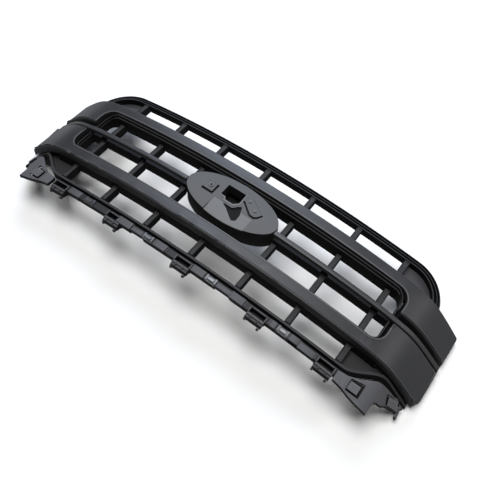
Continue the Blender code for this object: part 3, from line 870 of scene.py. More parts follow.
def slat(name, low, high, ends, nodes, deep):
    """A slat between two heights, with a notch of this depth above each post."""
    (start, end), flush, half, step = ends, 0.0002, 0.0088, 0.0002
    stations = [(x, flush) for x in spread(start, end, 45)]
    for column in range(-3, 4):
        x = column * POST_PITCH
        if start + 0.01 < x < end - 0.01:
            stations = [s for s in stations if abs(s[0] - x) > half + 0.001]
            stations += [(x - half - step, flush), (x - half, deep)]
            stations += [(x + half, deep), (x + half + step, flush)]
    rings = [slat_section(x, low, high, notch) for x, notch in sorted(stations)]
    obj = new_object(name, mesh_from(loft(rings), name, weld=0))

    # Painted shade on the undersides and the ends.
    def tone(centre, normal):
        return -0.75 if normal.y < -0.3 or abs(normal.x) > 0.6 else 0.0

    finish_piece(obj, finish("matte_lattice"), nodes, tone=tone)


class GRILLE_OT_slats(bpy.types.Operator):
    """Cross slats behind the bars, notched above each post"""

    bl_idname = "grille.slats"
    bl_label = "Slats"

    def execute(self, context):
        gap, reach = 0.0003, 0.4558
        full = (-reach, reach)
        low, high = BEZEL_TOP + gap, ROWS[1][0] - gap
        slat("upper_cross_slat", low, high, full, ["upper_slat"], 0.006)
        low, high = ROWS[4][1] + gap, BEZEL_FOOT - gap
        slat("lower_cross_slat", low, high, full, ["lower_slat"], 0.007)
        low, high = ROWS[3][1] + gap, ROWS[2][0] - gap
        start, end = BADGE_A + 0.001, BEZEL_X - 0.0058
        slat("middle_cross_slat_left", low, high, (-end, -start), ["middle_slat_left"], 0.006)
        slat("middle_cross_slat_right", low, high, (start, end), ["middle_slat_right"], 0.006)
        return {"FINISHED"}


def post_form():
    """A post one unit long: rounded front corners and a shallow sunk panel in its face."""
    half = [(-0.5, -1.0), (-0.5, -0.14)]
    for a in spread(0.0, math.pi / 2, 5):
        half.append((-0.5 + 0.2 * (1 - math.cos(a)), -0.14 * (1 - math.sin(a))))
    section = half + [(-x, z) for x, z in reversed(half)]
    ends = ((-0.5, 0.86, 0.16), (-0.48, 0.96, 0.04), (-0.46, 1.0, 0.0))  # y, width and drop
    ends += tuple((-y, width, drop) for y, width, drop in reversed(ends))
    rings = []
    for y, width, drop in ends:
        rings.append([(x * width, y, z - drop * (z > -0.9)) for x, z in section])
    bm = loft(rings)
    bmesh.ops.remove_doubles(bm, verts=bm.verts, dist=1e-5)
    bmesh.ops.recalc_face_normals(bm, faces=bm.faces)
    front = max(bm.faces, key=lambda f: f.calc_center_median().z * 10 + f.normal.z)
    bmesh.ops.inset_individual(bm, faces=[front], thickness=0.045, depth=0.0)
    bmesh.ops.inset_individual(bm, faces=[front], thickness=0.025, depth=-0.045)
    return mesh_from(bm, "post_form")


class GRILLE_OT_posts(bpy.types.Operator):
    """Short posts between the slats, in seven columns; the badge stands in for the middle ones"""

    bl_idname = "grille.posts"
    bl_label = "Posts"

    def execute(self, context):
        sizes = context.scene.grille_sizes
        places, nodes = [], []
        for row, (low, high) in ROWS.items():
            for column in range(-3, 4):
                if column == 0 and row in (2, 3):
                    continue
                x = column * POST_PITCH
                length = high - low - 0.0006
                places.append(((x, (low + high) / 2, -bow(x)), lean(x), (1.0, length, 1.0)))
                nodes.append(f"post_row{row}_{column + 4}")
        obj = repeat("lattice_posts", post_form(), places, finish("matte_lattice"),
                     width=sizes.post_width, depth=sizes.post_depth)

        # Painted highlight on the front faces, painted shade on the sides and ends.
        def tone(centre, normal):
            return 0.75 if normal.z > 0.93 else -0.5

        finish_piece(obj, finish("matte_lattice"), nodes, 28, tone)
        return {"FINISHED"}


# ---------------------------------------------------------------- rims


def rim_section():
    """(inward, level) points of the top rim: stepped lip, deep trough and the first row's wall."""
    wall = RIM_WIDTH
    return [
        (0.0, -0.030), (0.0, -0.0075), (0.0006, -0.0058), (0.0014, -0.005), (0.0030, -0.005),
        (0.0035, -0.0058), (0.0038, -0.0130), (0.0070, -0.0130), (0.0073, -0.0062),
        (0.0079, -0.0055), (0.0092, -0.0055), (0.0098, -0.0063), (0.0100, -0.0190),
        (wall - 0.0034, -0.0190), (wall - 0.0032, -0.0008), (wall - 0.0026, 0.0),
        (wall - 0.0007, 0.0), (wall, -0.0008), (wall, -0.022), (0.003, -0.022), (0.003, -0.030),
    ]


def rim_ring(point, normal):
    """The rim's section at a point of its outer edge, along the inward normal."""
    ring = []
    for inward, z in rim_section():
        x, y = point[0] + normal[0] * inward, point[1] + normal[1] * inward
        ring.append((x, y, z - bow(x)))
    return ring


class GRILLE_OT_top_rim(bpy.types.Operator):
    """Trough along the top, rounded down to the wings, and the first row's end panels"""

    bl_idname = "grille.top_rim"
    bl_label = "Top Rim"

    def execute(self, context):
        turn_y, foot_y = RIM_TOP - RIM_RADIUS, BAR_TOP + 0.0009
        rings = []
        last = math.asin((foot_y - turn_y) / (RIM_RADIUS - RIM_WIDTH))
        for angle in spread(last, math.pi / 2, 17):
            nx, ny = -math.cos(angle), -math.sin(angle)
            corner = (RIM_CORNER_X - RIM_RADIUS * nx, turn_y - RIM_RADIUS * ny)
            rings.append(rim_ring(corner, (nx, ny)))
        rings += [rim_ring((x, RIM_TOP), (0.0, -1.0)) for x in spread(RIM_CORNER_X, 0.0, 36)[1:]]
        rings += [[(-x, y, z) for x, y, z in ring] for ring in reversed(rings[:-1])]
        foot = []
        for inward, z in rim_section():
            radius = RIM_RADIUS - inward
            angle = math.asin(min(1.0, (foot_y - turn_y) / radius))
            x = RIM_CORNER_X + radius * math.cos(angle)
            foot.append((x, foot_y, z - bow(x)))
        rings = [foot] + rings[1:-1] + [[(-x, y, z) for x, y, z in foot]]
        obj = new_object("top_rim_trough", mesh_from(loft(rings), "rim", weld=0))

        # Painted shade in the trough, painted highlight on the lip's tops.
        def tone(centre, normal):
            in_trough = centre.z + bow(centre.x) < -0.0072
            return -1.0 if in_trough else 0.5 * (normal.z > 0.8)

        nodes = ["top_rim", "top_rim_corner_left", "top_rim_corner_right"]
        finish_piece(obj, finish("matte_lattice"), nodes, tone=tone)
        self.end_panels()
        return {"FINISHED"}

    def end_panels(self):
        """The closed ends of the first row, behind the rim's corners."""
        bm = bmesh.new()
        inner = RIM_RADIUS - RIM_WIDTH + 0.002
        outline = [(0.3925, BAR_TOP - 0.004), (0.3925, RIM_TOP - RIM_WIDTH + 0.001)]
        for angle in spread(math.pi / 2, 0.25, 12):
            x = RIM_CORNER_X + inner * math.cos(angle)
            outline.append((x, RIM_TOP - RIM_RADIUS + inner * math.sin(angle)))
        for side, _ in SIDES:
            levels = (-0.0212, -0.0180)
            closed_through(bm, [[(side * x, y, z - bow(x)) for x, y in outline] for z in levels])
        obj = new_object("top_row_end_panels", mesh_from(bm, "panels"))
        bevel(obj, 0.0005)
        finish_piece(obj, finish("satin_skin"), [])


def lip_ring(x):
    """Section of the bottom rim, square to its own direction, tapering off under the wing."""
    step = 0.0005
    slope = (bottom_y(x + step) - bottom_y(x - step)) / (2 * step)
    length = math.hypot(1.0, slope)
    nx, ny = -slope / length, 1 / length
    back = -0.0215 + 0.0145 * clamped((abs(x) - S_END) / (LIP_END - S_END))
    half = [(0.0033, back), (0.0033, -0.0018), (0.0028, -0.0006), (0.0016, 0.0), (0.0004, -0.0001)]
    section = [(-a, z) for a, z in half] + [(0.0, -0.0007)] + half[::-1]
    raised = 0.0025 * clamped((abs(x) - 0.38) / 0.05)
    return [
        (x + nx * a, bottom_y(x) + ny * a, z + (raised if z > -0.003 else 0.0) - wrap(x + nx * a))
        for a, z in section
    ]


PANEL_STEP = 0.4555  # where the last row's end panel grows taller, beyond the slat's end


def end_panel_ring(side, x):
    """Section of the closed end of the last row, which runs on behind the wing's foot."""
    back = -0.0205 + 0.0145 * clamped((x - S_END) / (LIP_END - S_END))
    front = back + 0.003
    high = BAR_FOOT + (-0.0008 if x <= PANEL_STEP else 0.024)
    points = [(bottom_y(x), back), (bottom_y(x), front), (high, front), (high, back)]
    return [(side * x, y, z - wrap(x)) for y, z in points]


class GRILLE_OT_bottom_rim(bpy.types.Operator):
    """Lip under the last row, its climb to the wings, and the last row's end panels"""

    bl_idname = "grille.bottom_rim"
    bl_label = "Bottom Rim"

    def execute(self, context):
        half = spread(0.0, 0.400, 34) + spread(0.406, LIP_END, 50)
        stations = sorted({-x for x in half} | set(half))
        obj = new_object("bottom_rim_lip", mesh_from(loft([lip_ring(x) for x in stations]), "lip"))

        # Painted highlight on the lip's top, painted shade on its sides.
        def tone(centre, normal):
            return 1.0 if normal.z > 0.45 else -0.9

        nodes = ["bottom_rim", "bottom_rim_end_left", "bottom_rim_end_right"]
        finish_piece(obj, finish("matte_lattice"), nodes, tone=tone)
        stations = spread(3 * POST_PITCH + 0.0025, PANEL_STEP, 14) + [PANEL_STEP + 0.0005]
        stations += spread(0.460, LIP_END - 0.001, 26)
        for side, word in SIDES:
            rings = [end_panel_ring(side, x) for x in stations]
            obj = new_object(f"bottom_row_end_panel_{word}", mesh_from(loft(rings), "panel"))
            # The end panels are darkened evenly: painted shade.
            finish_piece(obj, finish("matte_lattice"), [],
                         tone=lambda centre, normal: -0.3)
        return {"FINISHED"}


class GRILLE_OT_frames(bpy.types.Operator):
    """Uprights beside the opening, each with a tongue behind the wing's groove"""

    bl_idname = "grille.frames"
    bl_label = "Side Frames"

    def execute(self, context):
        for side, word in SIDES:
            rings = []
            for x in spread(BEZEL_X + 0.0004, 0.468, 8) + spread(0.474, 0.560, 18):
                upright = x < 0.470
                low, high = (BEZEL_FOOT, BEZEL_TOP) if upright else (-0.062, -0.008)
                back, front = (LATTICE_BACK, -0.006) if upright else (0.004, 0.0095)
                drop = wrap(x) if upright else skin(x)
                section = [(low, back), (low, front), (high, front), (high, back)]
                rings.append([(side * x, y, z - drop) for y, z in section])
            obj = new_object(f"side_upright_{word}", mesh_from(loft(rings), "upright"))
            bevel(obj, 0.0006)
            nodes = [f"side_frame_{word}"]
            # The uprights take the darker recess finish: painted shade.
            finish_piece(obj, finish("dark_recess"), nodes)
        return {"FINISHED"}


# ---------------------------------------------------------------- badge base


# Outlines in the badge's face, with the radius of each corner as a third number
BADGE_WINDOW = (
    (-0.034, -0.033, 0.001), (-0.0205, -0.033, 0.002), (-0.016, -0.0405, 0.003),
    (0.005, -0.0405, 0.004), (0.0155, -0.030, 0.003), (0.0145, -0.001, 0.002),
    (-0.034, -0.001, 0.001),
)
BADGE_CHANNEL = (
    (0.0, -0.0585, 0.003), (0.0200, -0.0730, 0.003), (0.028, -0.0775, 0.003),
    (0.0365, -0.0720, 0.003), (0.036, -0.0550, 0.004), (0.027, -0.0340, 0.002),
    (0.019, -0.0395, 0.002), (0.011, -0.0495, 0.003), (-0.017, -0.0495, 0.001),
)
BADGE_CORNER_SLOT = (
    (-0.0815, -0.0470, 0.0006), (-0.0490, -0.0470, 0.0006), (-0.0490, -0.0170, 0.0006),
    (-0.0545, -0.0170, 0.0006), (-0.0545, -0.0405, 0.0006), (-0.0815, -0.0405, 0.0006),
)
BADGE_PAD_SLOT = (
    (0.0185, -0.0195), (0.0512, -0.0452), (0.0655, -0.0462), (0.0738, -0.0385),
    (0.0795, -0.0265), (0.0758, -0.0252), (0.0695, -0.0355), (0.0635, -0.0405),
    (0.0525, -0.0395), (0.0215, -0.0160),
)
BOSS, PINS = (-0.066, -0.0265), ((0.033, -0.011), (0.057, -0.026))
EYELET_RADIUS, SLOT_DEPTH = 0.0026, 0.006

# Inner and outer line of the collar below the window, from its left end to its right
COLLAR = (
    ((-0.0345, -0.0335), (-0.0345, -0.0375)), ((-0.0207, -0.0335), (-0.0228, -0.0375)),
    ((-0.0162, -0.0410), (-0.0182, -0.0455)), ((0.0052, -0.0410), (0.0072, -0.0455)),
    ((0.0160, -0.0302), (0.0196, -0.0325)), ((0.0152, -0.0010), (0.0186, -0.0010)),
)
# Thin ridges on the face: both ends, half width and height
RIDGES = (
    (((0.0355, 0.0005), (0.0735, -0.0235)), 0.0006, 0.0006),
    (((-0.0790, -0.0175), (-0.0555, -0.0175)), 0.0005, 0.0004),
    (((-0.0790, -0.0400), (-0.0790, -0.0175)), 0.0005, 0.0004),
)
FACET_LEFT, FACET_RIGHT, FACET_TOP = -0.0415, 0.0645, -0.0482


def circle(centre, radius, count):
    """Points of a circle, anticlockwise."""
    angles = spread(0, 2 * math.pi, count + 1)[:-1]
    return [(centre[0] + radius * math.cos(a), centre[1] + radius * math.sin(a)) for a in angles]


def badge_drop(x, y):
    """The lower part of the oval is a facet that tips towards its edge."""
    if FACET_LEFT < x < FACET_RIGHT and y < FACET_TOP:
        return 0.0006 + 0.085 * (FACET_TOP - y)
    return 0.0


def step_line(bm, normal, at):
    """Two edges across the face, close together, for a step between them."""
    for offset in (-0.0002, 0.0002):
        plane = Vector(normal) * (at + offset)
        geometry = bm.verts[:] + bm.edges[:] + bm.faces[:]
        bmesh.ops.bisect_plane(bm, geom=geometry, plane_co=plane, plane_no=normal, dist=1e-6)


class GRILLE_OT_badge_base(bpy.types.Operator):
    """Oval badge pedestal with its camera window, cable channel, locating slots and pins"""

    bl_idname = "grille.badge_base"
    bl_label = "Badge Base"

    def execute(self, context):
        channel = rounded(BADGE_CHANNEL, 3)
        holes = [
            (rounded(BADGE_WINDOW, 3), 0.030, False),
            (channel, 0.011, True),
            (rounded(BADGE_CORNER_SLOT, 2), SLOT_DEPTH, True),
            (BADGE_PAD_SLOT, SLOT_DEPTH, True),
            (circle(BOSS, EYELET_RADIUS, 16), SLOT_DEPTH, True),
        ]
        oval = ellipse(BADGE_A, BADGE_B, BADGE_Y, 128)
        bm = sheet(oval, edge_profile(0.0016, BADGE_FACE - LATTICE_BACK), holes)
        step_line(bm, (0.0, 1.0, 0.0), FACET_TOP)
        step_line(bm, (1.0, 0.0, 0.0), FACET_LEFT)
        step_line(bm, (1.0, 0.0, 0.0), FACET_RIGHT)
        for v in bm.verts:
            if v.co.z > -0.0125:
                v.co.z -= badge_drop(v.co.x, v.co.y)
            v.co.z += BADGE_FACE
        obj = new_object("badge_base", mesh_from(bm, "badge_base"))
        face_out(obj)
        plain(thicken(obj, 0.0018))
        self.add_raised(obj)
        finish_piece(obj, finish("badge_plastic"), ["badge_pedestal"],
                     30, self.tone)
        self.dark_parts(channel)
        return {"FINISHED"}

    def tone(self, centre, normal):
        """Painted light: slots hold no light; what stands up and the rounded rim get a painted
        highlight, and the facet a painted reflection.
        """
        if normal.z > 0.8 and centre.z < BADGE_FACE - 0.0045:
            return -1.0
        if centre.z > BADGE_FACE + 0.0007:
            return 0.5
        if 0.25 < normal.z < 0.93 and centre.z > BADGE_FACE - 0.002:
            return 0.7
        on_facet = FACET_LEFT < centre.x < FACET_RIGHT and centre.y < FACET_TOP - 0.0003
        return 0.42 * (on_facet and normal.z > 0.9)

    def dark_parts(self, channel):
        """The plate that closes the window's pocket behind, and the channel's sloping floor.

        Both take the darker recess finish: painted shade.
        """
        bm = bmesh.new()
        plate = ellipse(BADGE_A - 0.004, BADGE_B - 0.004, BADGE_Y, 64)
        closed_through(bm, [[(x, y, z) for x, y in plate] for z in (-0.0195, -0.0175)])
        lining = inset(channel, 0.0003)
        floor = [(x, y, BADGE_FACE - 0.0106) for x, y in lining]
        top = [(x, y, BADGE_FACE - 0.0060 + 0.06 * (y + 0.055)) for x, y in lining]
        closed_through(bm, (floor, top))
        obj = new_object("badge_dark_parts", mesh_from(bm, "dark"))
        finish_piece(obj, finish("dark_recess"), [])

    def add_raised(self, base):
        """The collar below the window, the square boss, the slanting pad's edge and its pins."""
        bm = bmesh.new()
        foot = BADGE_FACE - 0.001
        rings = []
        for inner, outer in COLLAR:
            inner, outer = Vector(inner), Vector(outer)
            section = [(0.0, -0.0012), (0.0, 0.0006), (0.25, 0.0012), (0.75, 0.0012)]
            section += [(1.0, 0.0006), (1.0, -0.0012)]
            rings.append([(*inner.lerp(outer, t), BADGE_FACE + z) for t, z in section])
        closed_through(bm, rings)
        self.tube(bm, BOSS, 0.0029, 0.0056, foot, BADGE_FACE + 0.0022)
        for pin in PINS:
            self.tube(bm, pin, 0.0010, 0.0034, foot, BADGE_FACE + 0.0024)
        for ends, half, height in RIDGES:
            self.ridge(bm, ends, half, BADGE_FACE - 0.0008, BADGE_FACE + height)
        joined(base, bm)

    def tube(self, bm, centre, inner, outer, low, high):
        rim = 0.0003
        section = ((outer, low), (outer, high - rim), (outer - rim, high))
        section += ((inner, high), (inner, low))
        rings = [[bm.verts.new((x, y, z)) for x, y in circle(centre, radius, 20)]
                 for radius, z in section]
        for first, second in zip(rings, rings[1:] + rings[:1]):
            ring_faces(bm, first, second)

    def ridge(self, bm, ends, half, low, high):
        (x0, y0), (x1, y1) = ends
        along = Vector((x1 - x0, y1 - y0)).normalized()
        nx, ny = -along.y * half, along.x * half
        base = [(x0 + nx, y0 + ny), (x1 + nx, y1 + ny), (x1 - nx, y1 - ny), (x0 - nx, y0 - ny)]
        closed_through(bm, [[(x, y, z) for x, y in base] for z in (low, high)])


# ---------------------------------------------------------------- lower fixings


NOTCHES = ((-0.148, -0.112), (0.090, 0.131))


def wall_depth(x):
    """The flange's lower wall is cut short at two places."""
    return -0.0095 if any(low < x < high for low, high in NOTCHES) else -0.0200


def flange_ring(x, side=0):
    """The flange's section. side picks which side of a notch's edge its wall belongs to."""
    back, depth = -0.0215, wall_depth(x + side)
    front, wall = -0.0060, 0.0025
    foot, top = FLANGE_FOOT, FLANGE_TOP
    points = [
        (top, back), (top, -0.0140), (top - 0.0032, -0.0140), (top - 0.0034, front - 0.0006),
        (top - 0.0040, front), (foot + 0.001, front), (foot, front - 0.001), (foot, depth),
        (foot + wall, depth), (foot + wall, -0.0170), (top - wall, -0.0170), (top - wall, back),
    ]
    return [(x, y, z - bow(x)) for y, z in points]


# Raised pads of the flange: both ends, top and foot, and the level of the face
PADS = (
    (0.024, 0.058, -0.2005, -0.2180, -0.0015),
    (0.130, 0.164, -0.2005, -0.2185, -0.0010),
    (0.2330, 0.2470, -0.2010, -0.2175, -0.0015),
    (0.2820, 0.3050, -0.2005, -0.2165, -0.0020),
    (0.3050, 0.3450, -0.2030, -0.2185, -0.0035),
    (-0.0820, -0.0500, -0.2005, -0.2180, -0.0015),
    (-0.1900, -0.1510, -0.2005, -0.2185, -0.0010),
    (-0.3450, -0.3100, -0.2010, -0.2180, -0.0020),
)
LOW_PADS = (
    (0.0905, 0.1290, -0.2035, -0.2150, -0.0045),
    (-0.1495, -0.1190, -0.2035, -0.2150, -0.0045),
)


class GRILLE_OT_flange(bpy.types.Operator):
    """Fixing flange along the bottom: a bowed strip with a lower wall and raised pads"""

    bl_idname = "grille.flange"
    bl_label = "Fixing Flange"

    def execute(self, context):
        breaks = [edge for pair in NOTCHES for edge in pair]
        stations = [(x, 0) for x in spread(-FLANGE_END, FLANGE_END, 61)]
        stations = [s for s in stations if all(abs(s[0] - edge) > 0.001 for edge in breaks)]
        for edge in breaks:
            stations += [(edge - 0.0001, -0.0002), (edge + 0.0001, 0.0002)]
        rings = [flange_ring(x, side) for x, side in sorted(stations)]
        obj = new_object("fixing_flange", mesh_from(loft(rings), "flange", weld=0))
        self.cut_pockets(obj)

        # Painted shade over the whole strip, deepest where it is sunk, so that the pads stand out.
        def tone(centre, normal):
            sunk = centre.z + bow(centre.x) < -0.008
            return -1.0 if sunk else -0.75

        finish_piece(obj, finish("fixing_plastic"), ["bottom_flange"],
                     tone=tone)
        self.pads()
        return {"FINISHED"}

    def cut_pockets(self, flange):
        """Opens the flange where the latches sit."""
        bm = bmesh.new()
        for x in LATCH_X:
            z = -bow(x)
            block(bm, (x - 0.0195, -0.230, z - 0.05), (x + 0.0195, -0.2035, z + 0.03))
        cutter = new_object("latch_pockets", mesh_from(bm, "pockets"))
        modifier = flange.modifiers.new("Pockets", "BOOLEAN")
        modifier.solver = "EXACT"
        modifier.object = cutter
        plain(flange)
        bpy.data.objects.remove(cutter)

    def pads(self):
        """Raised pads along the strip, each tall one with a thin rib at both ends."""
        form = bmesh.new()
        block(form, (-0.5, -0.5, -1.0), (0.5, 0.5, 0.0), 0.06)
        places = []
        for low, high, top, foot, level in PADS + LOW_PADS:
            x, size = (low + high) / 2, (high - low, top - foot, 0.012)
            places.append(((x, (top + foot) / 2, level - bow(x)), lean(x), size))
        for low, high, *_ in PADS:
            for x in (low - 0.0024, high + 0.0024):
                size = (0.0022, 0.0160, 0.010)
                places.append(((x, -0.2080, -0.0042 - bow(x)), lean(x), size))
        obj = repeat("flange_pads", mesh_from(form, "pad"), places, finish("fixing_plastic"))

        # Painted shade: a little on the tops, deep on the sides.
        def tone(centre, normal):
            return -0.25 if normal.z > 0.6 else -0.9

        finish_piece(obj, finish("fixing_plastic"), [], tone=tone)


def latch_form():
    """Snap latch: a frame round a dark pocket, and a sloping block with short hooks."""
    bm = bmesh.new()
    for low, high, chamfer in (
        ((-0.0230, -0.0060, -0.018), (-0.0185, 0.0105, 0.0034), 0.0009),
        ((0.0185, -0.0060, -0.018), (0.0230, 0.0095, 0.0026), 0.0009),
        ((-0.0183, 0.0058, -0.012), (0.0183, 0.0092, 0.0022), 0.0007),
        ((-0.0198, -0.0045, -0.0175), (0.0198, 0.0092, -0.0150), 0.0),
        ((-0.0215, -0.0212, -0.0140), (-0.0160, -0.0187, -0.0076), 0.0005),
        ((0.0140, -0.0245, -0.0150), (0.0195, -0.0187, -0.0085), 0.0007),
        ((-0.0110, -0.0150, -0.0040), (-0.0085, -0.0070, 0.0022), 0.0005),
        ((0.0070, -0.0150, -0.0040), (0.0095, -0.0070, 0.0022), 0.0005),
    ):
        block(bm, low, high, chamfer)
    nose = [(-0.0047, -0.016), (-0.0047, 0.0002), (-0.0058, 0.0014), (-0.0105, 0.0008)]
    nose += [(-0.0120, -0.0010), (-0.0165, -0.0030), (-0.0190, -0.0070), (-0.0190, -0.0125)]
    nose += [(-0.0130, -0.016)]
    closed_through(bm, [[(x, y, z) for y, z in nose] for x in (-0.0215, 0.0215)])
    return mesh_from(bm, "latch_form")


class GRILLE_OT_latches(bpy.types.Operator):
    """Five snap latches below the flange"""

    bl_idname = "grille.latches"
    bl_label = "Snap Latches"

    def execute(self, context):
        width = context.scene.grille_sizes.latch_width / 0.046
        places = [((x, -0.2125, -0.0045 - bow(x)), lean(x), (1.0, 1.0, 1.0)) for x in LATCH_X]
        obj = repeat("snap_latches", latch_form(), places, finish("fixing_plastic"), width=width)
        nodes = [f"snap_latch_{n}" for n in range(1, 6)]

        # Painted shade: the pocket's floor holds no light, the tops are a little darker, the sides
        # much darker.
        def tone(centre, normal):
            in_pocket = centre.z + bow(centre.x) < -0.0175
            if in_pocket and normal.z > 0.8:
                return -1.0
            return -0.3 if normal.z > 0.8 else -0.85

        finish_piece(obj, finish("fixing_plastic"), nodes, 24, tone)
        return {"FINISHED"}


def clip_form():
    """Folded steel clip: a frame of strip with a raised tongue and two turned-up ends."""
    bm = bmesh.new()
    gauge = 0.0008
    profile = [(-0.0080, -0.005), (-0.0080, 0.0004), (-0.0062, 0.0018), (0.0062, 0.0018)]
    profile += [(0.0080, 0.0004), (0.0080, -0.005)]
    strip = profile + [(y * 0.90, z - gauge) for y, z in reversed(profile)]
    for ends in ((-0.0130, -0.0095), (0.0095, 0.0130)):
        closed_through(bm, [[(x, y, z) for y, z in strip] for x in ends])
    tongue = [(-0.0058, 0.0004), (-0.0040, 0.0032), (0.0020, 0.0040), (0.0050, 0.0022)]
    tongue += [(y, z - gauge) for y, z in reversed(tongue)]
    closed_through(bm, [[(x, y, z) for y, z in tongue] for x in (-0.0075, 0.0075)])
    block(bm, (-0.0132, -0.0076, -0.0035), (0.0132, 0.0076, -0.0026))
    return mesh_from(bm, "clip_form")


class GRILLE_OT_clips(bpy.types.Operator):
    """Four spring steel clips seated in the flange"""

    bl_idname = "grille.clips"
    bl_label = "Steel Clips"

    def execute(self, context):
        places = [((x, -0.2085, -0.0030 - bow(x)), lean(x), (1.0, 1.0, 1.0)) for x in CLIP_X]
        obj = repeat("steel_clips", clip_form(), places, finish("clip_steel_finish"))
        nodes = [f"spring_clip_{n}" for n in range(1, 5)]
        finish_piece(obj, finish("clip_steel_finish"), nodes, 24)
        return {"FINISHED"}


# ---------------------------------------------------------------- corner brackets


def ribbed_tab(bm, outline, level, ribs):
    """A raised tab with ribs across it, at these shares of its length."""
    rings = [[(x, y, z) for x, y in outline] for z in (level - 0.010, level - 0.0006)]
    rings.append([(x, y, level) for x, y in inset(outline, 0.0007)])
    closed_through(bm, rings)
    a, b, c, d = (Vector(p) for p in outline)
    for t in ribs:
        start, end = a.lerp(d, t), b.lerp(c, t)
        along = (end - start).normalized()
        start, end = start + along * 0.002, end - along * 0.002
        across = Vector((-along.y, along.x)) * 0.0010
        base = (start - across, end - across, end + across, start + across)
        closed_through(bm, [[(p.x, p.y, level + z) for p in base] for z in (-0.0005, 0.0009)])


# The right bracket's plate, its two cut-outs, and the tabs that stand in them with their ribs
BRACKET_LEVEL, TAB_LEVEL = 0.0050, 0.0108
BRACKET_PLATE = (
    (0.4003, -0.2300, 0), (0.4227, -0.2325, 0.004), (0.4451, -0.2390, 0.004),
    (0.4655, -0.2423, 0.002), (0.4912, -0.2423, 0.002), (0.4912, -0.2186, 0.004),
    (0.4935, -0.2096, 0.003), (0.4984, -0.2047, 0.002), (0.5038, -0.2036, 0.001),
    (0.5083, -0.2010, 0.001), (0.5151, -0.1930, 0.001), (0.5416, -0.1800, 0.001),
    (0.5416, -0.1885, 0.001), (0.5482, -0.1885, 0.001), (0.5478, -0.1780, 0.001),
    (0.5455, -0.1660, 0.001), (0.5500, -0.1590, 0), (0.5348, -0.1598, 0),
    (0.5184, -0.1608, 0), (0.5032, -0.1628, 0), (0.4894, -0.1660, 0.003),
    (0.4779, -0.1703, 0.003), (0.4599, -0.1828, 0.003), (0.4419, -0.1943, 0.004),
    (0.4224, -0.2026, 0.003), (0.4003, -0.2056, 0),
)
BRACKET_CUTOUTS = (
    ((0.4322, -0.2315), (0.4628, -0.2305), (0.4622, -0.1950), (0.4311, -0.2024)),
    ((0.5140, -0.1895), (0.5420, -0.1765), (0.5395, -0.1620), (0.5290, -0.1585),
     (0.5065, -0.1720)),
)
BRACKET_TABS = (
    (((0.4336, -0.2288), (0.4568, -0.2278), (0.4564, -0.2078), (0.4336, -0.2098)),
     (0.25, 0.5, 0.75)),
    (((0.5175, -0.1905), (0.5424, -0.1790), (0.5340, -0.1622), (0.5132, -0.1735)),
     (0.3, 0.6)),
)


class GRILLE_OT_brackets(bpy.types.Operator):
    """Corner brackets under the wings: a wrapped plate with cut-outs, ribbed tabs and a hook"""

    bl_idname = "grille.brackets"
    bl_label = "Corner Brackets"

    def execute(self, context):
        profile = [(0.0, 0.0105), (0.0, 0.0009), (0.0009, 0.0)]
        for side, word in SIDES:
            turn = mirrored if side < 0 else list
            stations = [side * x for x in spread(0.402, 0.550, 48)]
            holes = [(turn(outline), 0.0052, False) for outline in BRACKET_CUTOUTS]
            bm = bent(sheet(turn(rounded(BRACKET_PLATE, 3)), profile, holes, stations),
                      BRACKET_LEVEL, wrap)
            obj = new_object(f"fixing_bracket_{word}", mesh_from(bm, "bracket"))
            face_out(obj)
            plain(thicken(obj, 0.0018))
            joined(obj, self.tabs_and_floors(side, stations))
            finish_piece(obj, finish("fixing_plastic"),
                         [f"corner_bracket_{word}"], 28, self.tone)
        return {"FINISHED"}

    def tabs_and_floors(self, side, stations):
        """The tabs, and a floor behind each cut-out that tone paints in shade, wrapped like the
        plate.
        """
        bm = bmesh.new()
        for outline, ribs in BRACKET_TABS:
            ribbed_tab(bm, [(side * x, y) for x, y in outline], TAB_LEVEL, ribs)
        for outline in BRACKET_CUTOUTS:
            levels = (-0.0050, -0.0035)
            closed_through(bm, [[(side * x, y, z) for x, y in outline] for z in levels])
        cut_across(bm, stations)
        return bent(bm, 0.0, wrap)

    # Painted shade on the floors and sides, a painted highlight on the plate and a stronger one on
    # the tabs.
    def tone(self, centre, normal):
        level = centre.z + wrap(centre.x)
        if level < 0.0042:
            return -0.95
        if normal.z <= 0.4:
            return -0.8
        return 1.0 if level > 0.0100 else 0.55


# ---------------------------------------------------------------- stage


# Name, place, target, size, watts and colour of each lamp
LAMPS = (
    ("overhead", (-0.05, -0.05, 2.8), (0.0, 0.0, 0.1), (1.9, 1.5), 94.0, (0.99, 0.99, 0.98)),
    ("back_left", (-1.0, 1.8, 2.0), (-0.1, 0.0, 0.1), (1.7, 1.2), 48.0, (0.72, 0.82, 1.0)),
    ("back_right", (1.9, 1.05, 1.3), (0.45, 0.0, 0.1), (0.5, 0.9), 11.0, (1.0, 1.0, 1.0)),
)
ROOM_LIGHT = 0.11
FLOOR_HALF = 9.0
FLOOR_TONES = ((0.75, 0.75, 0.75), (0.765, 0.765, 0.765))
CAMERA_AZIMUTH, CAMERA_ELEVATION, CAMERA_ROLL = 31.16, 57.53, 5.82  # degrees
CAMERA_PLACE, CAMERA_LENS, CAMERA_SENSOR = (0.478, -0.7274, 1.1545), 44.63, 36.0


def area_light(name, location, target, size, power, colour):
    """A rectangular lamp, in watts, that looks at its target."""
    light = bpy.data.lights.new(name, "AREA")
    light.shape = "RECTANGLE"
    light.size, light.size_y = size
    light.energy = power
    light.color = colour
    obj = bpy.data.objects.new(name, light)
    obj.location = location
    obj.rotation_mode = "QUATERNION"
    obj.rotation_quaternion = (Vector(target) - Vector(location)).to_track_quat("-Z", "Y")
    bpy.context.scene.collection.objects.link(obj)


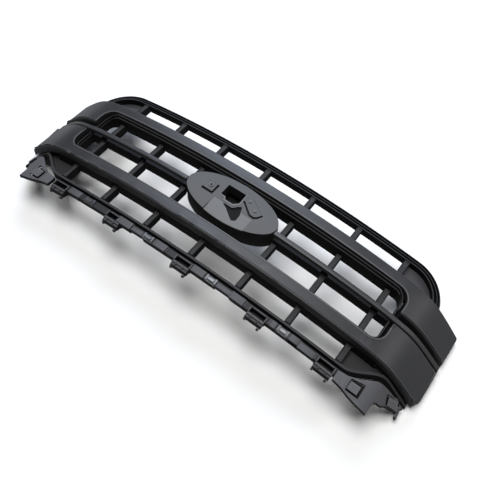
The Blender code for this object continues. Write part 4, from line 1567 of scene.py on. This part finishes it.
class GRILLE_OT_stage(bpy.types.Operator):
    """Pale floor, soft studio light and the camera"""

    bl_idname = "grille.stage"
    bl_label = "Stage"

    def execute(self, context):
        self.floor()
        self.lights(context.scene)
        self.camera(context.scene)
        return {"FINISHED"}

    def floor(self):
        bm = bmesh.new()
        bmesh.ops.create_grid(bm, x_segments=8, y_segments=8, size=FLOOR_HALF)
        floor = new_object("studio_floor", mesh_from(bm, "floor"))
        material, tree, shader = shader_of("pale_floor")
        coordinates = tree.nodes.new("ShaderNodeTexCoord").outputs["Object"]
        tone = blended(tree, noise(tree, coordinates, 3.0, 2.0), *FLOOR_TONES)
        tree.links.new(tone, shader.inputs["Base Color"])
        shader.inputs["Roughness"].default_value = 0.9
        shader.inputs["Specular IOR Level"].default_value = 0.1
        floor.data.materials.append(material)

    def lights(self, scene):
        scene.view_settings.view_transform = "Standard"
        world = bpy.data.worlds.new("studio")
        world.use_nodes = True
        background = world.node_tree.nodes["Background"]
        background.inputs["Color"].default_value = (1.0, 1.0, 1.0, 1.0)
        background.inputs["Strength"].default_value = ROOM_LIGHT
        scene.world = world
        for lamp in LAMPS:
            area_light(*lamp)

    def camera(self, scene):
        azimuth, elevation, roll = (
            math.radians(a) for a in (CAMERA_AZIMUTH, CAMERA_ELEVATION, CAMERA_ROLL)
        )
        back = Vector((
            math.sin(azimuth) * math.cos(elevation),
            -math.cos(azimuth) * math.cos(elevation),
            math.sin(elevation),
        ))
        right = (-back).cross(Vector((0, 0, 1))).normalized()
        up = right.cross(-back)
        across = math.cos(roll) * right + math.sin(roll) * up
        upward = -math.sin(roll) * right + math.cos(roll) * up
        data = bpy.data.cameras.new("camera")
        data.sensor_width = CAMERA_SENSOR
        data.lens = CAMERA_LENS
        data.clip_start, data.clip_end = 0.05, 50.0
        camera = bpy.data.objects.new("camera", data)
        turn = Matrix((across, upward, back)).transposed().to_4x4()
        camera.matrix_world = Matrix.Translation(Vector(CAMERA_PLACE) + ORIGIN) @ turn
        scene.collection.objects.link(camera)
        scene.camera = camera


# ---------------------------------------------------------------- panel and registration


BUILD_ORDER = (
    GRILLE_OT_stage,
    GRILLE_OT_upper_moulding,
    GRILLE_OT_lower_moulding,
    GRILLE_OT_middle_strips,
    GRILLE_OT_bezel,
    GRILLE_OT_slats,
    GRILLE_OT_posts,
    GRILLE_OT_top_rim,
    GRILLE_OT_bottom_rim,
    GRILLE_OT_frames,
    GRILLE_OT_badge_base,
    GRILLE_OT_flange,
    GRILLE_OT_latches,
    GRILLE_OT_clips,
    GRILLE_OT_brackets,
)


class GRILLE_PT_panel(bpy.types.Panel):
    """Sizes, colours and build steps of the grille"""

    bl_idname = "GRILLE_PT_panel"
    bl_label = "Front Grille"
    bl_space_type = "VIEW_3D"
    bl_region_type = "UI"
    bl_category = "Grille"

    def draw(self, context):
        for group in (context.scene.grille_sizes, context.scene.grille_colours):
            box = self.layout.box()
            for word in group.__annotations__:
                box.prop(group, word)
        for operator in BUILD_ORDER:
            self.layout.operator(operator.bl_idname)


CLASSES = (GrilleSizes, GrilleColours, *BUILD_ORDER, GRILLE_PT_panel)


def register():
    for each in CLASSES:
        bpy.utils.register_class(each)
    bpy.types.Scene.grille_sizes = bpy.props.PointerProperty(type=GrilleSizes)
    bpy.types.Scene.grille_colours = bpy.props.PointerProperty(type=GrilleColours)


def unregister():
    del bpy.types.Scene.grille_colours
    del bpy.types.Scene.grille_sizes
    for each in reversed(CLASSES):
        bpy.utils.unregister_class(each)


def clear_startup():
    """Removes what Blender's startup scene holds; the frame's own objects stay."""
    for obj in list(bpy.data.objects):
        if obj.type in ("CAMERA", "LIGHT") or obj.name == "Cube":
            bpy.data.objects.remove(obj, do_unlink=True)


def main():
    clear_startup()
    register()
    for operator in BUILD_ORDER:
        category, name = operator.bl_idname.split(".")
        getattr(getattr(bpy.ops, category), name)()


if __name__ == "__main__":
    main()
